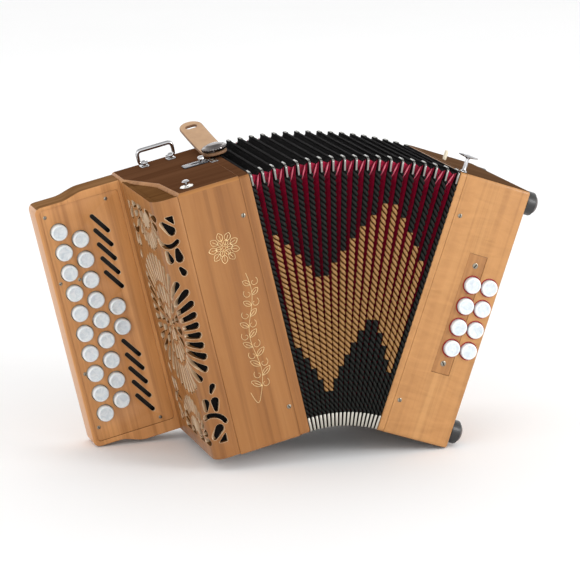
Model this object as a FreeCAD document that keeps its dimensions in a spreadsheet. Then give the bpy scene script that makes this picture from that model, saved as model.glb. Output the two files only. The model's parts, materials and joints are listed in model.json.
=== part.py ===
"""A two-and-a-half-row diatonic button accordion, standing fanned open on its lower edges.

The treble half and the bass half are wooden casings joined by a bellows of 18 folds.
Each half is drawn in its own upright frame: x runs from the treble end to the bass end,
y from the front face to the back, z upwards, with x = 0 where the half meets the bellows.
Lengths are in millimetres, angles in degrees.
"""
import FreeCAD, Part
import os
import re
import Sketcher

from FreeCAD import Placement, Rotation, Vector

doc = FreeCAD.newDocument("ButtonAccordion")

SIZES = {
    # both casings
    "case_high": 250,
    "case_deep": 155,
    "wall": 6,
    "over": 1,
    "window_margin": 3,
    # treble casing
    "treble_frame": 10,
    "treble_wide": 92,
    "front_seam": 68,
    "seam_bend": 72,
    "seam_bend_deep": 58,
    "grille_back": 112,
    "grille_wall": 4,
    "grille_drop": 1.5,
    "grille_round": 12,
    "grille_window": 22,
    "grille_window_pitch": 26.5,
    "grille_window_low": 21,
    "grille_window_deep": 36,
    "grille_window_wide": 9,
    "grille_window_first": 6,
    "grille_window_step": 44,
    "grille_front_margin": 1,
    "soundboard_left": 62,
    "soundboard_thick": 5,
    "reed_block_first": 16,
    "reed_block_pitch": 31,
    "reed_block_wide": 20,
    "reed_block_tall": 210,
    "reed_block_long": 30,
    "pallet_thick": 4,
    "pallet_deep": 12,
    "pallet_tall": 3.5,
    "pallet_behind": 4,
    "air_slot_deep": 8,
    "air_slot_tall": 2.5,
    # keyboard
    "key_left": 175,
    "key_front": 122.5,
    "key_low": 1.5,
    "key_high": 248.5,
    "key_step_near": 132,
    "key_step_far": 148,
    "key_step_low": 6.5,
    "key_step_high": 4.5,
    "key_chamfer": 4,
    "plate_left": 171,
    "plate_right": 95,
    "plate_low": 13,
    "plate_high": 241,
    "plate_sunk": 0.6,
    "plate_thick": 2.5,
    "back_wall": 5,
    "guide_deep": 132.5,
    "guide_thick": 2.5,
    "lever_deep": 143,
    "lever_thick": 2,
    "lever_tall": 1.5,
    "slot_middle": 118.5,
    "slot_long": 25,
    "slot_wide": 4,
    "slot_pitch": 13.7,
    # treble buttons
    "button_radius": 7.6,
    "button_proud": 4.2,
    "button_long": 9,
    "button_crown": 0.8,
    "button_bevel": 1,
    "button_hole": 8.2,
    "shank_radius": 2.5,
    "shank_long": 11,
    "guide_hole": 2.56,
    "first_x": 157.7,
    "first_z": 217.1,
    "button_pitch": 19.9,
    "row_step": 17.9,
    "row_drop": 11.9,
    # bass casing
    "bass_frame": 6.3,
    "bass_wide": 71.7,
    "bass_first_x": 44.4,
    "bass_first_z": 152.9,
    "bass_pitch": 20.4,
    "bass_row_step": 16.7,
    "bass_row_rise": 1.5,
    "bass_shank": 10,
    "bass_bore": 9.5,
    "bass_plate_left": 32.5,
    "bass_plate_wide": 18.2,
    "bass_plate_low": 66,
    "bass_plate_tall": 115,
    "bass_plate_thick": 3,
    "bass_plate_sunk": 0.5,
    "bass_board": 4,
    "bass_block_first": 60,
    "bass_block_pitch": 34,
    "bass_block_wide": 20,
    "bass_block_long": 26,
    "bass_block_low": 30,
    "bass_block_tall": 190,
    # bellows
    "fold_pitch": 3.613,
    "fold_pivot": 0.57,
    "bellows_front": 2,
    "bellows_deep": 151,
    "bellows_low": 0,
    "bellows_tall": 249.5,
    "section_thick": 10.2,
    "frame_border": 14,
    # fittings on top of the treble casing
    "register_left": 38,
    "register_deep": 82,
    "register_long": 24,
    "register_wide": 13,
    "register_thick": 1.2,
    "register_slot_first": 8,
    "register_slot_last": 3,
    "slide_left": 19.5,
    "slide_deep": 88.5,
    "slide_stem": 1.6,
    "slide_radius": 3.2,
    "slide_tall": 3.5,
    "slide_gap": 0.4,
    "slide_rest": 0.1,
    "slide_neck": 1.2,
    "slide_crown": 0.8,
    "slide_bevel": 1,
    "bail_left": 66,
    "bail_wide": 34,
    "bail_deep": 139,
    "bail_rise": 12.5,
    "bail_wire": 1.7,
    "bail_pivot": 3,
    "bail_foot": 8,
    "bail_gap": 0.05,
    "bar_thicker": 0.6,
    "bar_overhang": 0.8,
    "ear_thick": 3,
    "ear_deep": 6,
    "ear_pad_wide": 8,
    "ear_pad_thick": 1,
    "snap_x": 3,
    "snap_deep": 98,
    "snap_radius": 11.5,
    "snap_foot": 6,
    "snap_foot_thick": 1.5,
    "snap_post": 3,
    "snap_lift": 6,
    "snap_rim": 4,
    "snap_dome": 2.5,
    "snap_bevel": 4,
    "keeper_left": 13.5,
    "keeper_deep": 76,
    "keeper_wide": 7,
    "keeper_long": 14,
    "keeper_thick": 1,
    "strap_wide": 22,
    "strap_long": 90,
    "strap_thick": 2.6,
    "strap_lift": 2.7,
    "strap_flat": 12.5,
    "strap_eye": 3.6,
    "strap_slot_long": 11,
    "strap_slot_wide": 6,
    "rosette_left": 54,
    "rosette_deep": 18,
    "rosette_radius": 6,
    "rosette_thick": 1.2,
    "rosette_neck": 1.8,
    "rosette_tall": 4.5,
    "rosette_head": 3.4,
    "rosette_bevel": 1.2,
    "rosette_crown": 2,
    # screws and pins
    "screw_radius": 1.7,
    "screw_proud": 0.8,
    "bass_screw_radius": 2.6,
    "bass_screw_proud": 0.4,
    "pin_radius": 2,
    "treble_pin_x": 14,
    "bass_pin_x": 11.6,
    # fittings of the bass casing
    "foot_radius": 11,
    "foot_high": 13,
    "foot_dome": 4,
    "foot_inset": 12.5,
    "foot_low": 15.5,
    "foot_top": 238.5,
    "stud_x": 3.1,
    "stud_deep": 4.2,
    "stud_tall": 17,
    "stud_post": 1.6,
    "stud_throat": 2.4,
    "stud_radius": 9.2,
    "stud_crown": 6.5,
    "stud_head": 2,
    "strap_pin_x": 16.7,
    "strap_pin_deep": 91.9,
    "strap_pin_radius": 1.8,
    "strap_pin_tall": 9,
    "air_deep": 38,
    "air_high": 196,
    "air_radius": 8,
    "air_hole": 8.5,
    "air_proud": 5,
    "air_inside": 3,
    "hand_gap": 9.5,
    "hand_strap_thick": 2.6,
    "hand_strap_deep": 55,
    "hand_strap_wide": 45,
    "hand_strap_low": 34,
    "hand_strap_tall": 182,
    "hand_strap_end": 8,
}

FOLDS = 18
FOLDS_PER_SECTION = 3
FAN_ANGLE = 31.94
TREBLE_LEAN = 12.18
STRAP_HEADING = 1
STRAP_RISE = 12.2
SLOT_LEAN = 33.7
ROWS = ((10, 0, 0), (9, 1, 0), (2, 2, 3))
BASS_COLUMNS = 2
BASS_ROWS = 4
GRILLE_ROWS = 8
REED_BLOCKS = 4
BASS_BLOCKS = 2
SLOT_TOPS = (213.9, 91.1)
SLOTS_EACH = 5
PLATE_SCREWS = ((-108, 235), (-167, 233.7), (-167, 26.4), (-108, 18), (-168, 169.6),
                (-149.8, 168.4), (-167, 80))
TREBLE_PIN_HEIGHTS = (214.6, 30.7)
BASS_SCREW_HEIGHTS = (170.5, 75.9)
BASS_PIN_HEIGHTS = (210.9, 32.9)
ROUND_CHORD = 0.29

sheet = doc.addObject("Spreadsheet::Sheet", "Sizes")
for row, (alias, value) in enumerate(SIZES.items(), start=1):
    sheet.set("A%d" % row, alias)
    sheet.set("B%d" % row, str(value))
    sheet.setAlias("B%d" % row, alias)
doc.recompute()

Y_AXIS = Vector(0, 1, 0)
ALONG = {
    "x": Rotation(Y_AXIS, 90),
    "y": Rotation(Vector(1, 0, 0), -90),
    "z": Rotation(),
}


# ---- drawing helpers -------------------------------------------------------

def formula(text):
    """An expression on the sheet's cells, written with their bare aliases."""
    def cell(word):
        return "Sizes." + word[0] if word[0] in SIZES else word[0]
    return re.sub(r"[a-z_]+", cell, str(text))


def bind(thing, **formulas):
    for name, text in formulas.items():
        thing.setExpression(name, formula(text))


def put(thing, x, y, z):
    for axis, text in zip("xyz", (x, y, z)):
        thing.setExpression("Placement.Base." + axis, formula(text))


def box(x, y, z, length, width, height, name="Block"):
    thing = doc.addObject("Part::Box", name)
    bind(thing, Length=length, Width=width, Height=height)
    put(thing, x, y, z)
    return thing


def cylinder(x, y, z, radius, height, along="z", name="Round"):
    thing = doc.addObject("Part::Cylinder", name)
    bind(thing, Radius=radius, Height=height)
    thing.Placement.Rotation = ALONG[along]
    put(thing, x, y, z)
    return thing


def cone(x, y, z, base, top, height, along="z", name="Taper"):
    thing = doc.addObject("Part::Cone", name)
    bind(thing, Radius1=base, Radius2=top, Height=height)
    thing.Placement.Rotation = ALONG[along]
    put(thing, x, y, z)
    return thing


def group(things, name="Group"):
    thing = doc.addObject("Part::Compound", name)
    thing.Links = things
    return thing


def fuse(things, name="Union"):
    thing = doc.addObject("Part::MultiFuse", name)
    thing.Shapes = things
    thing.Refine = True
    return thing


def cut(base, tools, name="Cut"):
    thing = doc.addObject("Part::Cut", name)
    thing.Base = base
    thing.Tool = tools[0] if len(tools) == 1 else group(tools, name + "Tools")
    return thing


def padded_outline(plane, start, outline, thickness, name):
    """A PartDesign body: a closed outline of straight edges on a plane, padded along +Y or +Z."""
    body = doc.addObject("PartDesign::Body", name)
    sketch = body.newObject("Sketcher::SketchObject", name + "Outline")
    planes = [p for p in body.Origin.OriginFeatures if p.Role == plane]
    sketch.AttachmentSupport = [(planes[0], "")]
    sketch.MapMode = "FlatFace"
    upright = plane == "XZ_Plane"
    offset = "-(%s)" % start if upright else str(start)
    sketch.setExpression("AttachmentOffset.Base.z", formula(offset))
    count = len(outline)
    numbers = [[sheet_value(text) for text in point] for point in outline]
    for index in range(count):
        a = Vector(*numbers[index], 0)
        b = Vector(*numbers[(index + 1) % count], 0)
        sketch.addGeometry(Part.LineSegment(a, b), False)
    for index in range(count):
        sketch.addConstraint(Sketcher.Constraint("Coincident", index, 2, (index + 1) % count, 1))
    for index, point in enumerate(outline):
        for kind, text, number in zip(("DistanceX", "DistanceY"), point, numbers[index]):
            constraint = Sketcher.Constraint(kind, -1, 1, index, 1, number)
            place = sketch.addConstraint(constraint)
            sketch.setExpression("Constraints[%d]" % place, formula(text))
    pad = body.newObject("PartDesign::Pad", name + "Pad")
    pad.Profile = sketch
    pad.setExpression("Length", formula(thickness))
    pad.Reversed = upright
    body.Tip = pad
    return body


def sheet_value(text):
    """The present value of an expression, for a sketch point's first position."""
    words = re.sub(r"[a-z_]+", lambda word: str(SIZES[word[0]]), str(text))
    return float(FreeCAD.Units.Quantity("(%s)" % words).Value)


# ---- where each half stands ------------------------------------------------

def fold_step(angle):
    """One bellows fold: half a pitch, a turn about the bottom of the fold, half a pitch."""
    half = Placement(Vector(SIZES["fold_pitch"] / 2, 0, 0), Rotation())
    turn = Placement(Vector(), Rotation(Y_AXIS, angle), Vector(0, 0, SIZES["fold_pivot"]))
    return half.multiply(turn).multiply(half)


def crest_frame(crest):
    """The frame of a bellows crest, counted from the treble frame, seen from the treble half."""
    frame = Placement()
    for _ in range(crest):
        frame = frame.multiply(fold_step(FAN_ANGLE / FOLDS))
    return frame


HALVES = {"treble": Placement(), "bass": crest_frame(FOLDS)}
for number in range(1, FOLDS // FOLDS_PER_SECTION):
    HALVES["section_%d" % number] = crest_frame(number * FOLDS_PER_SECTION)

subparts = []


def subpart(label, half, thing):
    """Name a finished piece and note which half or bellows section it belongs to."""
    thing.Label = label
    subparts.append((thing, half))
    return thing


# ---- treble casing ---------------------------------------------------------

def ring(x, thickness, front, deep, low, tall, border):
    """A rectangular wooden or card frame round an open window."""
    outer = box(x, front, low, thickness, deep, tall)
    inner = box("%s - over" % x, "%s + %s" % (front, border), "%s + %s" % (low, border),
                "%s + 2 * over" % thickness, "%s - 2 * %s" % (deep, border),
                "%s - 2 * %s" % (tall, border))
    return cut(outer, [inner], "Ring")


def treble_bellows_frame():
    return ring("-treble_frame", "treble_frame", "0", "case_deep", "0", "case_high",
                "frame_border")


def treble_casing():
    outline = (
        ("-treble_frame", "0"),
        ("-front_seam", "0"),
        ("-seam_bend", "seam_bend_deep"),
        ("-treble_wide", "grille_back"),
        ("-treble_wide", "case_deep"),
        ("-treble_frame", "case_deep"),
    )
    block = padded_outline("XY_Plane", "0", outline, "case_high", "TrebleBlock")
    inside = box("-treble_wide + wall", "wall", "wall",
                 "treble_wide - wall - treble_frame + over", "case_deep - 2 * wall",
                 "case_high - 2 * wall")
    window = box("-treble_wide - over", "key_front + wall", "plate_low + window_margin",
                 "wall + 2 * over", "case_deep - key_front - 2 * wall",
                 "plate_high - plate_low - 2 * window_margin")
    return cut(block, [fuse([inside, window])], "TrebleCasing")


def treble_soundboard():
    board = box("-soundboard_left", "wall", "wall", "soundboard_thick",
                "case_deep - 2 * wall", "case_high - 2 * wall")
    front = "lever_deep + pallet_behind - (pallet_deep + air_slot_deep) / 2"
    holes = [box("-soundboard_left - over", front, "%s - air_slot_tall / 2" % z,
                 "soundboard_thick + 2 * over", "air_slot_deep", "air_slot_tall")
             for x, z in treble_button_places()]
    return cut(board, holes, "Soundboard")


def treble_button_places():
    """x and z of each treble button, row by row from the outer edge, top to bottom."""
    places = []
    for count, row, first in ROWS:
        for index in range(first, first + count):
            x = "-first_x + %d * row_step" % row
            z = "first_z - %d * row_drop - %d * button_pitch" % (row, index)
            places.append((x, z))
    return places


def pallets_and_levers():
    """A lever for each treble button, running to a felt-faced pallet on the soundboard."""
    pieces = []
    for x, z in treble_button_places():
        lever = box(x, "lever_deep", "%s - lever_tall / 2" % z,
                    "-(%s) - soundboard_left - pallet_thick" % x, "lever_thick", "lever_tall")
        pallet = box("-soundboard_left - pallet_thick", "lever_deep + pallet_behind - pallet_deep",
                     "%s - pallet_tall / 2" % z, "pallet_thick", "pallet_deep", "pallet_tall")
        pieces.append(fuse([lever, pallet]))
    return group(pieces)


def treble_reed_blocks():
    """Long blocks that carry the reed plates, screwed to the soundboard."""
    low = "(case_high - reed_block_tall) / 2"
    return group([box("-soundboard_left + soundboard_thick",
                      "reed_block_first + %d * reed_block_pitch" % row, low,
                      "reed_block_long", "reed_block_wide", "reed_block_tall")
                  for row in range(REED_BLOCKS)])


def grille_window(x, y, row, length, width):
    low = "grille_window_low + %d * grille_window_pitch" % row
    return box(x, y, low, length, width, "grille_window")


def grille_cover():
    """A wooden cover round the front left corner: pierced side and front panels, a rounded
    corner post between them, and a board at the top and the bottom."""
    side_slope = "(grille_back - seam_bend_deep) / (treble_wide - seam_bend)"
    side_outline = (
        ("-treble_wide", "grille_round"),
        ("-treble_wide + grille_wall", "grille_round"),
        ("-treble_wide + grille_wall", "grille_back - grille_wall * " + side_slope),
        ("-treble_wide", "grille_back"),
    )
    front_slope = "(seam_bend - front_seam) / seam_bend_deep"
    front_outline = (
        ("-front_seam", "0"),
        ("-treble_wide + grille_round", "0"),
        ("-treble_wide + grille_round", "grille_wall"),
        ("-front_seam - grille_wall * " + front_slope, "grille_wall"),
    )
    inner_high = "case_high - 2 * wall"
    side = padded_outline("XY_Plane", "wall", side_outline, inner_high, "GrilleSide")
    front = padded_outline("XY_Plane", "wall", front_outline, inner_high, "GrilleFront")
    side_windows = [grille_window("-treble_wide - over",
                                  "grille_round + grille_window_first + %s" % step, row,
                                  "grille_wall + 2 * over", "grille_window_deep")
                    for row in range(GRILLE_ROWS) for step in ("0", "grille_window_step")]
    front_windows = [grille_window("-treble_wide + grille_round + grille_front_margin", "-over",
                                   row, "grille_window_wide", "grille_wall + 2 * over")
                     for row in range(GRILLE_ROWS)]
    chord = "%s * grille_round" % ROUND_CHORD
    corner = (
        ("-treble_wide", "grille_round"),
        ("-treble_wide + " + chord, chord),
        ("-treble_wide + grille_round", "0"),
        ("-treble_wide + grille_round", "grille_wall"),
        ("-treble_wide + grille_wall", "grille_round"),
    )
    lid = (
        ("-front_seam", "0"),
        ("-treble_wide + grille_round", "0"),
        ("-treble_wide + " + chord, chord),
        ("-treble_wide", "grille_round"),
        ("-treble_wide", "grille_back"),
        ("-seam_bend", "seam_bend_deep"),
    )
    post = padded_outline("XY_Plane", "wall", corner, inner_high, "GrillePost")
    low = padded_outline("XY_Plane", "grille_drop", lid, "wall - grille_drop", "GrilleFloor")
    top = padded_outline("XY_Plane", "case_high - wall", lid, "wall - grille_drop", "GrilleLid")
    return group([cut(side, side_windows), cut(front, front_windows), post, low, top])


# ---- keyboard --------------------------------------------------------------

def keyboard_body():
    """A hollow box whose outer part is a little shorter, with a slanted step at both ends."""
    outline = (
        ("-treble_wide", "key_low"),
        ("-key_step_near", "key_low"),
        ("-key_step_far", "key_low + key_step_low"),
        ("-key_left + key_chamfer", "key_low + key_step_low"),
        ("-key_left", "key_low + key_step_low + key_chamfer"),
        ("-key_left", "key_high - key_step_high - key_chamfer"),
        ("-key_left + key_chamfer", "key_high - key_step_high"),
        ("-key_step_far", "key_high - key_step_high"),
        ("-key_step_near", "key_high"),
        ("-treble_wide", "key_high"),
    )
    block = padded_outline("XZ_Plane", "key_front", outline, "case_deep - key_front", "KeyBlock")
    inside = box("-plate_left", "key_front - over", "plate_low", "plate_left - plate_right",
                 "case_deep - key_front - back_wall + over", "plate_high - plate_low")
    window = box("-plate_right - over", "key_front + wall", "plate_low + window_margin",
                 "plate_right - treble_wide + 2 * over", "case_deep - key_front - 2 * wall",
                 "plate_high - plate_low - 2 * window_margin")
    return cut(block, [fuse([inside, window])], "KeyboardBody")


def keyboard_slots():
    """Slanting slots through the plate, a set above and a set below the third row."""
    slots = []
    turned = Rotation(Y_AXIS, -SLOT_LEAN)
    corner = turned.multVec(Vector(SIZES["slot_wide"] / 2, 0, SIZES["slot_long"] / 2))
    for top in SLOT_TOPS:
        for index in range(SLOTS_EACH):
            slot = doc.addObject("Part::Box", "Slot")
            bind(slot, Length="slot_wide", Width="plate_thick + 4 * over", Height="slot_long")
            slot.Placement = Placement(-corner, turned)
            put(slot, "-slot_middle - %s" % corner.x, "key_front - over",
                "%s - %d * slot_pitch - %s" % (top, index, corner.z))
            slots.append(slot)
    return slots


def keyboard_plate():
    plate = box("-plate_left", "key_front + plate_sunk", "plate_low", "plate_left - plate_right",
                "plate_thick", "plate_high - plate_low")
    holes = [cylinder(x, "key_front - over", z, "button_hole", "plate_thick + 4 * over", "y")
             for x, z in treble_button_places()]
    return cut(plate, holes + keyboard_slots(), "KeyboardPlate")


def button_guide():
    """A board behind the plate that keeps the button shanks straight."""
    board = box("-plate_left", "guide_deep", "plate_low", "plate_left - plate_right",
                "guide_thick", "plate_high - plate_low")
    holes = [cylinder(x, "guide_deep - over", z, "guide_hole", "guide_thick + 2 * over", "y")
             for x, z in treble_button_places()]
    return cut(board, holes, "ButtonGuide")


def button(x, z, front, shank):
    """A round crowned button on a thin shank, pressed towards +Y."""
    crown = cone(x, "%s - button_proud" % front, z, "button_radius - button_bevel", "button_radius",
                 "button_crown", "y")
    cap = cylinder(x, "%s - button_proud + button_crown" % front, z, "button_radius",
                   "button_long - button_crown", "y")
    stem = cylinder(x, "%s - button_proud + button_long" % front, z, "shank_radius", shank, "y")
    return fuse([crown, cap, stem], "Button")


def treble_screws():
    """The keyboard plate's screws and the two pins that hold the bellows frame."""
    heads = [cylinder(x, "key_front + plate_sunk - screw_proud", z, "screw_radius",
                      "screw_proud", "y") for x, z in PLATE_SCREWS]
    pins = [cylinder("-treble_pin_x", "-screw_proud", z, "pin_radius", "screw_proud", "y")
            for z in TREBLE_PIN_HEIGHTS]
    return group(heads + pins)


# ---- hardware on top of the treble casing ----------------------------------

def register_plate():
    plate = box("-register_left", "register_deep", "case_high", "register_long",
                "register_wide", "register_thick")
    slot = box("-register_left + register_slot_first", "slide_deep - slide_stem - slide_gap",
               "case_high - over", "register_long - register_slot_first - register_slot_last",
               "2 * (slide_stem + slide_gap)", "register_thick + 2 * over")
    return cut(plate, [slot], "RegisterPlate")


def register_slide():
    """A knob on a stem that runs in the slot of the register plate."""
    under = "case_high + slide_rest + register_thick + slide_neck"
    stem = cylinder("-slide_left", "slide_deep", "case_high + slide_rest", "slide_stem",
                    "register_thick + slide_neck")
    knob = cylinder("-slide_left", "slide_deep", under, "slide_radius", "slide_tall")
    crown = cone("-slide_left", "slide_deep", under + " + slide_tall", "slide_radius",
                 "slide_radius - slide_bevel", "slide_crown")
    return fuse([stem, knob, crown], "RegisterSlide")


def bail_bracket():
    """Two ears on base pads between the bail's legs, bored for its feet."""
    parts = []
    for side, inward in ((0, 1), (1, -1)):
        middle = "-bail_left + %d * bail_wide + %d * bail_foot / 2" % (side, inward)
        ear = box(middle + " - ear_thick / 2", "bail_deep - ear_deep / 2", "case_high",
                  "ear_thick", "ear_deep", "bail_pivot + ear_deep / 2")
        pad = box(middle + " - ear_pad_wide / 2", "bail_deep - ear_deep", "case_high",
                  "ear_pad_wide", "2 * ear_deep", "ear_pad_thick")
        parts.append(fuse([ear, pad]))
    bore = cylinder("-bail_left", "bail_deep", "case_high + bail_pivot", "bail_wire + bail_gap",
                    "bail_wide", "x")
    return cut(group(parts), [bore], "BailBracket")


def strap_bail():
    """A bent wire loop: two feet turned in through the ears, two legs and a thicker top bar."""
    pivot = "case_high + bail_pivot"
    right = "-bail_left + bail_wide"
    bar_end = "bail_wire + bar_overhang"
    pieces = [
        cylinder("-bail_left", "bail_deep", pivot, "bail_wire", "bail_foot", "x"),
        cylinder(right + " - bail_foot", "bail_deep", pivot, "bail_wire", "bail_foot", "x"),
        cylinder("-bail_left", "bail_deep", pivot, "bail_wire", "bail_rise"),
        cylinder(right, "bail_deep", pivot, "bail_wire", "bail_rise"),
        cylinder("-bail_left - (%s)" % bar_end, "bail_deep", pivot + " + bail_rise",
                 "bail_wire + bar_thicker", "bail_wide + 2 * (%s)" % bar_end, "x"),
    ]
    return fuse(pieces, "StrapBail")


def strap_snap():
    """The snap's foot on the bellows frame, its dome above the strap, and a keeper plate."""
    at = ("-snap_x", "snap_deep")
    foot = cylinder(*at, "case_high", "snap_foot", "snap_foot_thick")
    post = cylinder(*at, "case_high + snap_foot_thick", "snap_post", "snap_lift - snap_foot_thick")
    rim = cylinder(*at, "case_high + snap_lift", "snap_radius", "snap_rim")
    dome = cone(*at, "case_high + snap_lift + snap_rim", "snap_radius",
                "snap_radius - snap_bevel", "snap_dome")
    keeper = box("-keeper_left", "keeper_deep", "case_high", "keeper_wide", "keeper_long",
                 "keeper_thick")
    return group([fuse([foot, post, rim, dome]), keeper])


def bellows_strap():
    """A leather strap that swivels on the snap's post. It lies flat under the snap's rim, then
    rises to its free end, which has a slot for the pin."""
    lift = "case_high + strap_lift"
    radius = "strap_wide / 2"
    eye = cylinder("-snap_x", "snap_deep", lift, radius, "strap_thick")
    flat = box("-snap_x - %s" % radius, "snap_deep", lift, "strap_wide", "strap_flat",
               "strap_thick")
    hole = cylinder("-snap_x", "snap_deep", lift + " - over", "strap_eye",
                    "strap_thick + 2 * over")
    root = cut(fuse([eye, flat]), [hole])
    reach = "(strap_long - strap_wide - strap_flat)"
    length = box("-" + radius, 0, 0, "strap_wide", reach, "strap_thick")
    tip = cylinder(0, reach, 0, radius, "strap_thick")
    slot = box("-strap_slot_long / 2", reach + " - strap_slot_wide / 2", "-over",
               "strap_slot_long", "strap_slot_wide", "strap_thick + 2 * over")
    tongue = cut(fuse([length, tip]), [slot])
    tongue.Placement.Rotation = Rotation(Vector(1, 0, 0), STRAP_RISE)
    put(tongue, "-snap_x", "snap_deep + strap_flat", lift)
    strap = fuse([root, tongue], "BellowsStrap")
    post = Vector(-SIZES["snap_x"], SIZES["snap_deep"], 0)
    strap.Placement = Placement(Vector(), Rotation(Vector(0, 0, 1), STRAP_HEADING), post)
    return group([strap])


def rosette_stud():
    at = ("-rosette_left", "rosette_deep")
    rosette = cylinder(*at, "case_high", "rosette_radius", "rosette_thick")
    neck = cylinder(*at, "case_high + rosette_thick", "rosette_neck",
                    "rosette_tall - rosette_thick")
    head = cone(*at, "case_high + rosette_tall", "rosette_head",
                "rosette_head - rosette_bevel", "rosette_crown")
    return fuse([rosette, neck, head], "RosetteStud")


# ---- bellows ---------------------------------------------------------------

def bellows_section():
    """The stretch of bellows round one crest: a plain closed slab about x = 0."""
    return group([box("-section_thick / 2", "bellows_front", "bellows_low", "section_thick",
                      "bellows_deep", "bellows_tall")])


# ---- bass half -------------------------------------------------------------

def bass_bellows_frame():
    return ring("0", "bass_frame", "0", "case_deep", "0", "case_high", "frame_border")


def bass_button_places():
    places = []
    for column in range(BASS_COLUMNS):
        for row in range(BASS_ROWS):
            x = "bass_first_x + %d * bass_row_step" % column
            z = "bass_first_z + %d * bass_row_rise - %d * bass_pitch" % (column, row)
            places.append((x, z))
    return places


def bass_button_holes():
    """Bores deep enough that a pressed button stays clear of the end wall."""
    return [cylinder(x, "-2 * over", z, "button_hole", "bass_bore + 2 * over", "y")
            for x, z in bass_button_places()]


def bass_casing():
    outer = box("bass_frame", 0, 0, "bass_wide - bass_frame", "case_deep", "case_high")
    inside = box("bass_frame - over", "wall", "wall", "bass_wide - bass_frame - wall + over",
                 "case_deep - 2 * wall", "case_high - 2 * wall")
    pocket = box("bass_plate_left", "-over", "bass_plate_low", "bass_plate_wide",
                 "bass_plate_thick + over", "bass_plate_tall")
    air_hole = cylinder("bass_wide - wall - over", "air_deep", "air_high", "air_hole",
                        "wall + 2 * over", "x")
    tools = [fuse([inside, pocket] + bass_button_holes()), air_hole]
    return cut(outer, tools, "BassCasing")


def bass_button_plate():
    plate = box("bass_plate_left", "bass_plate_sunk", "bass_plate_low", "bass_plate_wide",
                "bass_plate_thick - bass_plate_sunk", "bass_plate_tall")
    return cut(plate, [group(bass_button_holes())], "BassPlate")


def bass_screws():
    """Two slotted screws in the button plate and the two pins of the bellows frame."""
    heads = [cylinder("bass_plate_left + bass_plate_wide / 2", "-bass_screw_proud", z,
                      "bass_screw_radius", "bass_screw_proud + bass_plate_sunk", "y")
             for z in BASS_SCREW_HEIGHTS]
    pins = [cylinder("bass_pin_x", "-screw_proud", z, "pin_radius", "screw_proud", "y")
            for z in BASS_PIN_HEIGHTS]
    return group(heads + pins)


def bass_feet():
    """Four feet on the end face: a ring with a domed stud."""
    feet = []
    for y in ("foot_inset", "case_deep - foot_inset"):
        for z in ("foot_low", "foot_top"):
            rim = cylinder("bass_wide", y, z, "foot_radius", "foot_high - foot_dome", "x")
            dome = cone("bass_wide + foot_high - foot_dome", y, z, "foot_radius",
                        "foot_radius - foot_dome", "foot_dome", "x")
            feet.append(fuse([rim, dome]))
    return group(feet)


def bass_reed_pan():
    """The board behind the bass frame with its reed blocks."""
    board = box("bass_frame", "wall", "wall", "bass_board", "case_deep - 2 * wall",
                "case_high - 2 * wall")
    blocks = [box("bass_frame + bass_board", "bass_block_first + %d * bass_block_pitch" % row,
                  "bass_block_low", "bass_block_long", "bass_block_wide", "bass_block_tall")
              for row in range(BASS_BLOCKS)]
    return fuse([board] + blocks, "BassReedPan")


def hand_strap():
    """A leather strap over the end face, fastened at both ends, with room for the hand."""
    top = "hand_strap_low + hand_strap_tall - hand_strap_end"
    middle = box("bass_wide + hand_gap", "hand_strap_deep", "hand_strap_low + hand_strap_end",
                 "hand_strap_thick", "hand_strap_wide", "hand_strap_tall - 2 * hand_strap_end")
    ends = [box("bass_wide", "hand_strap_deep", z, "hand_gap + hand_strap_thick",
                "hand_strap_wide", "hand_strap_end") for z in ("hand_strap_low", top)]
    return fuse([middle] + ends, "HandStrap")


def air_button():
    """The wind key: a button through a hole in the end face."""
    cap = cylinder("bass_wide - wall - air_inside", "air_deep", "air_high", "air_radius",
                   "wall + air_inside + air_proud", "x")
    return group([cap])


def bass_top_studs():
    """The mushroom stud at the front corner and the pin that holds the bellows strap."""
    at = ("stud_x", "stud_deep")
    post = cylinder(*at, "case_high", "stud_post", "stud_tall - stud_head")
    rim = cone(*at, "case_high + stud_tall - 2 * stud_head", "stud_throat", "stud_radius",
               "stud_head")
    head = cone(*at, "case_high + stud_tall - stud_head", "stud_radius", "stud_crown",
                "stud_head")
    pin = cylinder("strap_pin_x", "strap_pin_deep", "case_high", "strap_pin_radius",
                   "strap_pin_tall")
    return group([fuse([post, rim, head]), pin])


# ---- the whole instrument --------------------------------------------------

subpart("treble_bellows_frame", "treble", treble_bellows_frame())
subpart("treble_casing", "treble", treble_casing())
subpart("treble_soundboard", "treble", treble_soundboard())
subpart("pallets_and_levers", "treble", pallets_and_levers())
subpart("treble_reed_blocks", "treble", treble_reed_blocks())
subpart("grille_cover", "treble", grille_cover())
subpart("keyboard_body", "treble", keyboard_body())
subpart("keyboard_plate", "treble", keyboard_plate())
subpart("button_guide", "treble", button_guide())
subpart("treble_screws", "treble", treble_screws())
subpart("register_plate", "treble", register_plate())
subpart("register_slide", "treble", register_slide())
subpart("bail_bracket", "treble", bail_bracket())
subpart("strap_bail", "treble", strap_bail())
subpart("strap_snap", "treble", strap_snap())
subpart("bellows_strap", "treble", bellows_strap())
subpart("rosette_stud", "treble", rosette_stud())
for number, (x, z) in enumerate(treble_button_places(), start=1):
    subpart("treble_button_%02d" % number, "treble", button(x, z, "key_front", "shank_long"))
for number in range(1, FOLDS // FOLDS_PER_SECTION):
    subpart("bellows_section_%d" % number, "section_%d" % number, bellows_section())
subpart("bass_bellows_frame", "bass", bass_bellows_frame())
subpart("bass_casing", "bass", bass_casing())
subpart("bass_button_plate", "bass", bass_button_plate())
subpart("bass_screws", "bass", bass_screws())
subpart("bass_feet", "bass", bass_feet())
subpart("bass_reed_pan", "bass", bass_reed_pan())
subpart("hand_strap", "bass", hand_strap())
subpart("air_button", "bass", air_button())
subpart("bass_top_studs", "bass", bass_top_studs())
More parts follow.
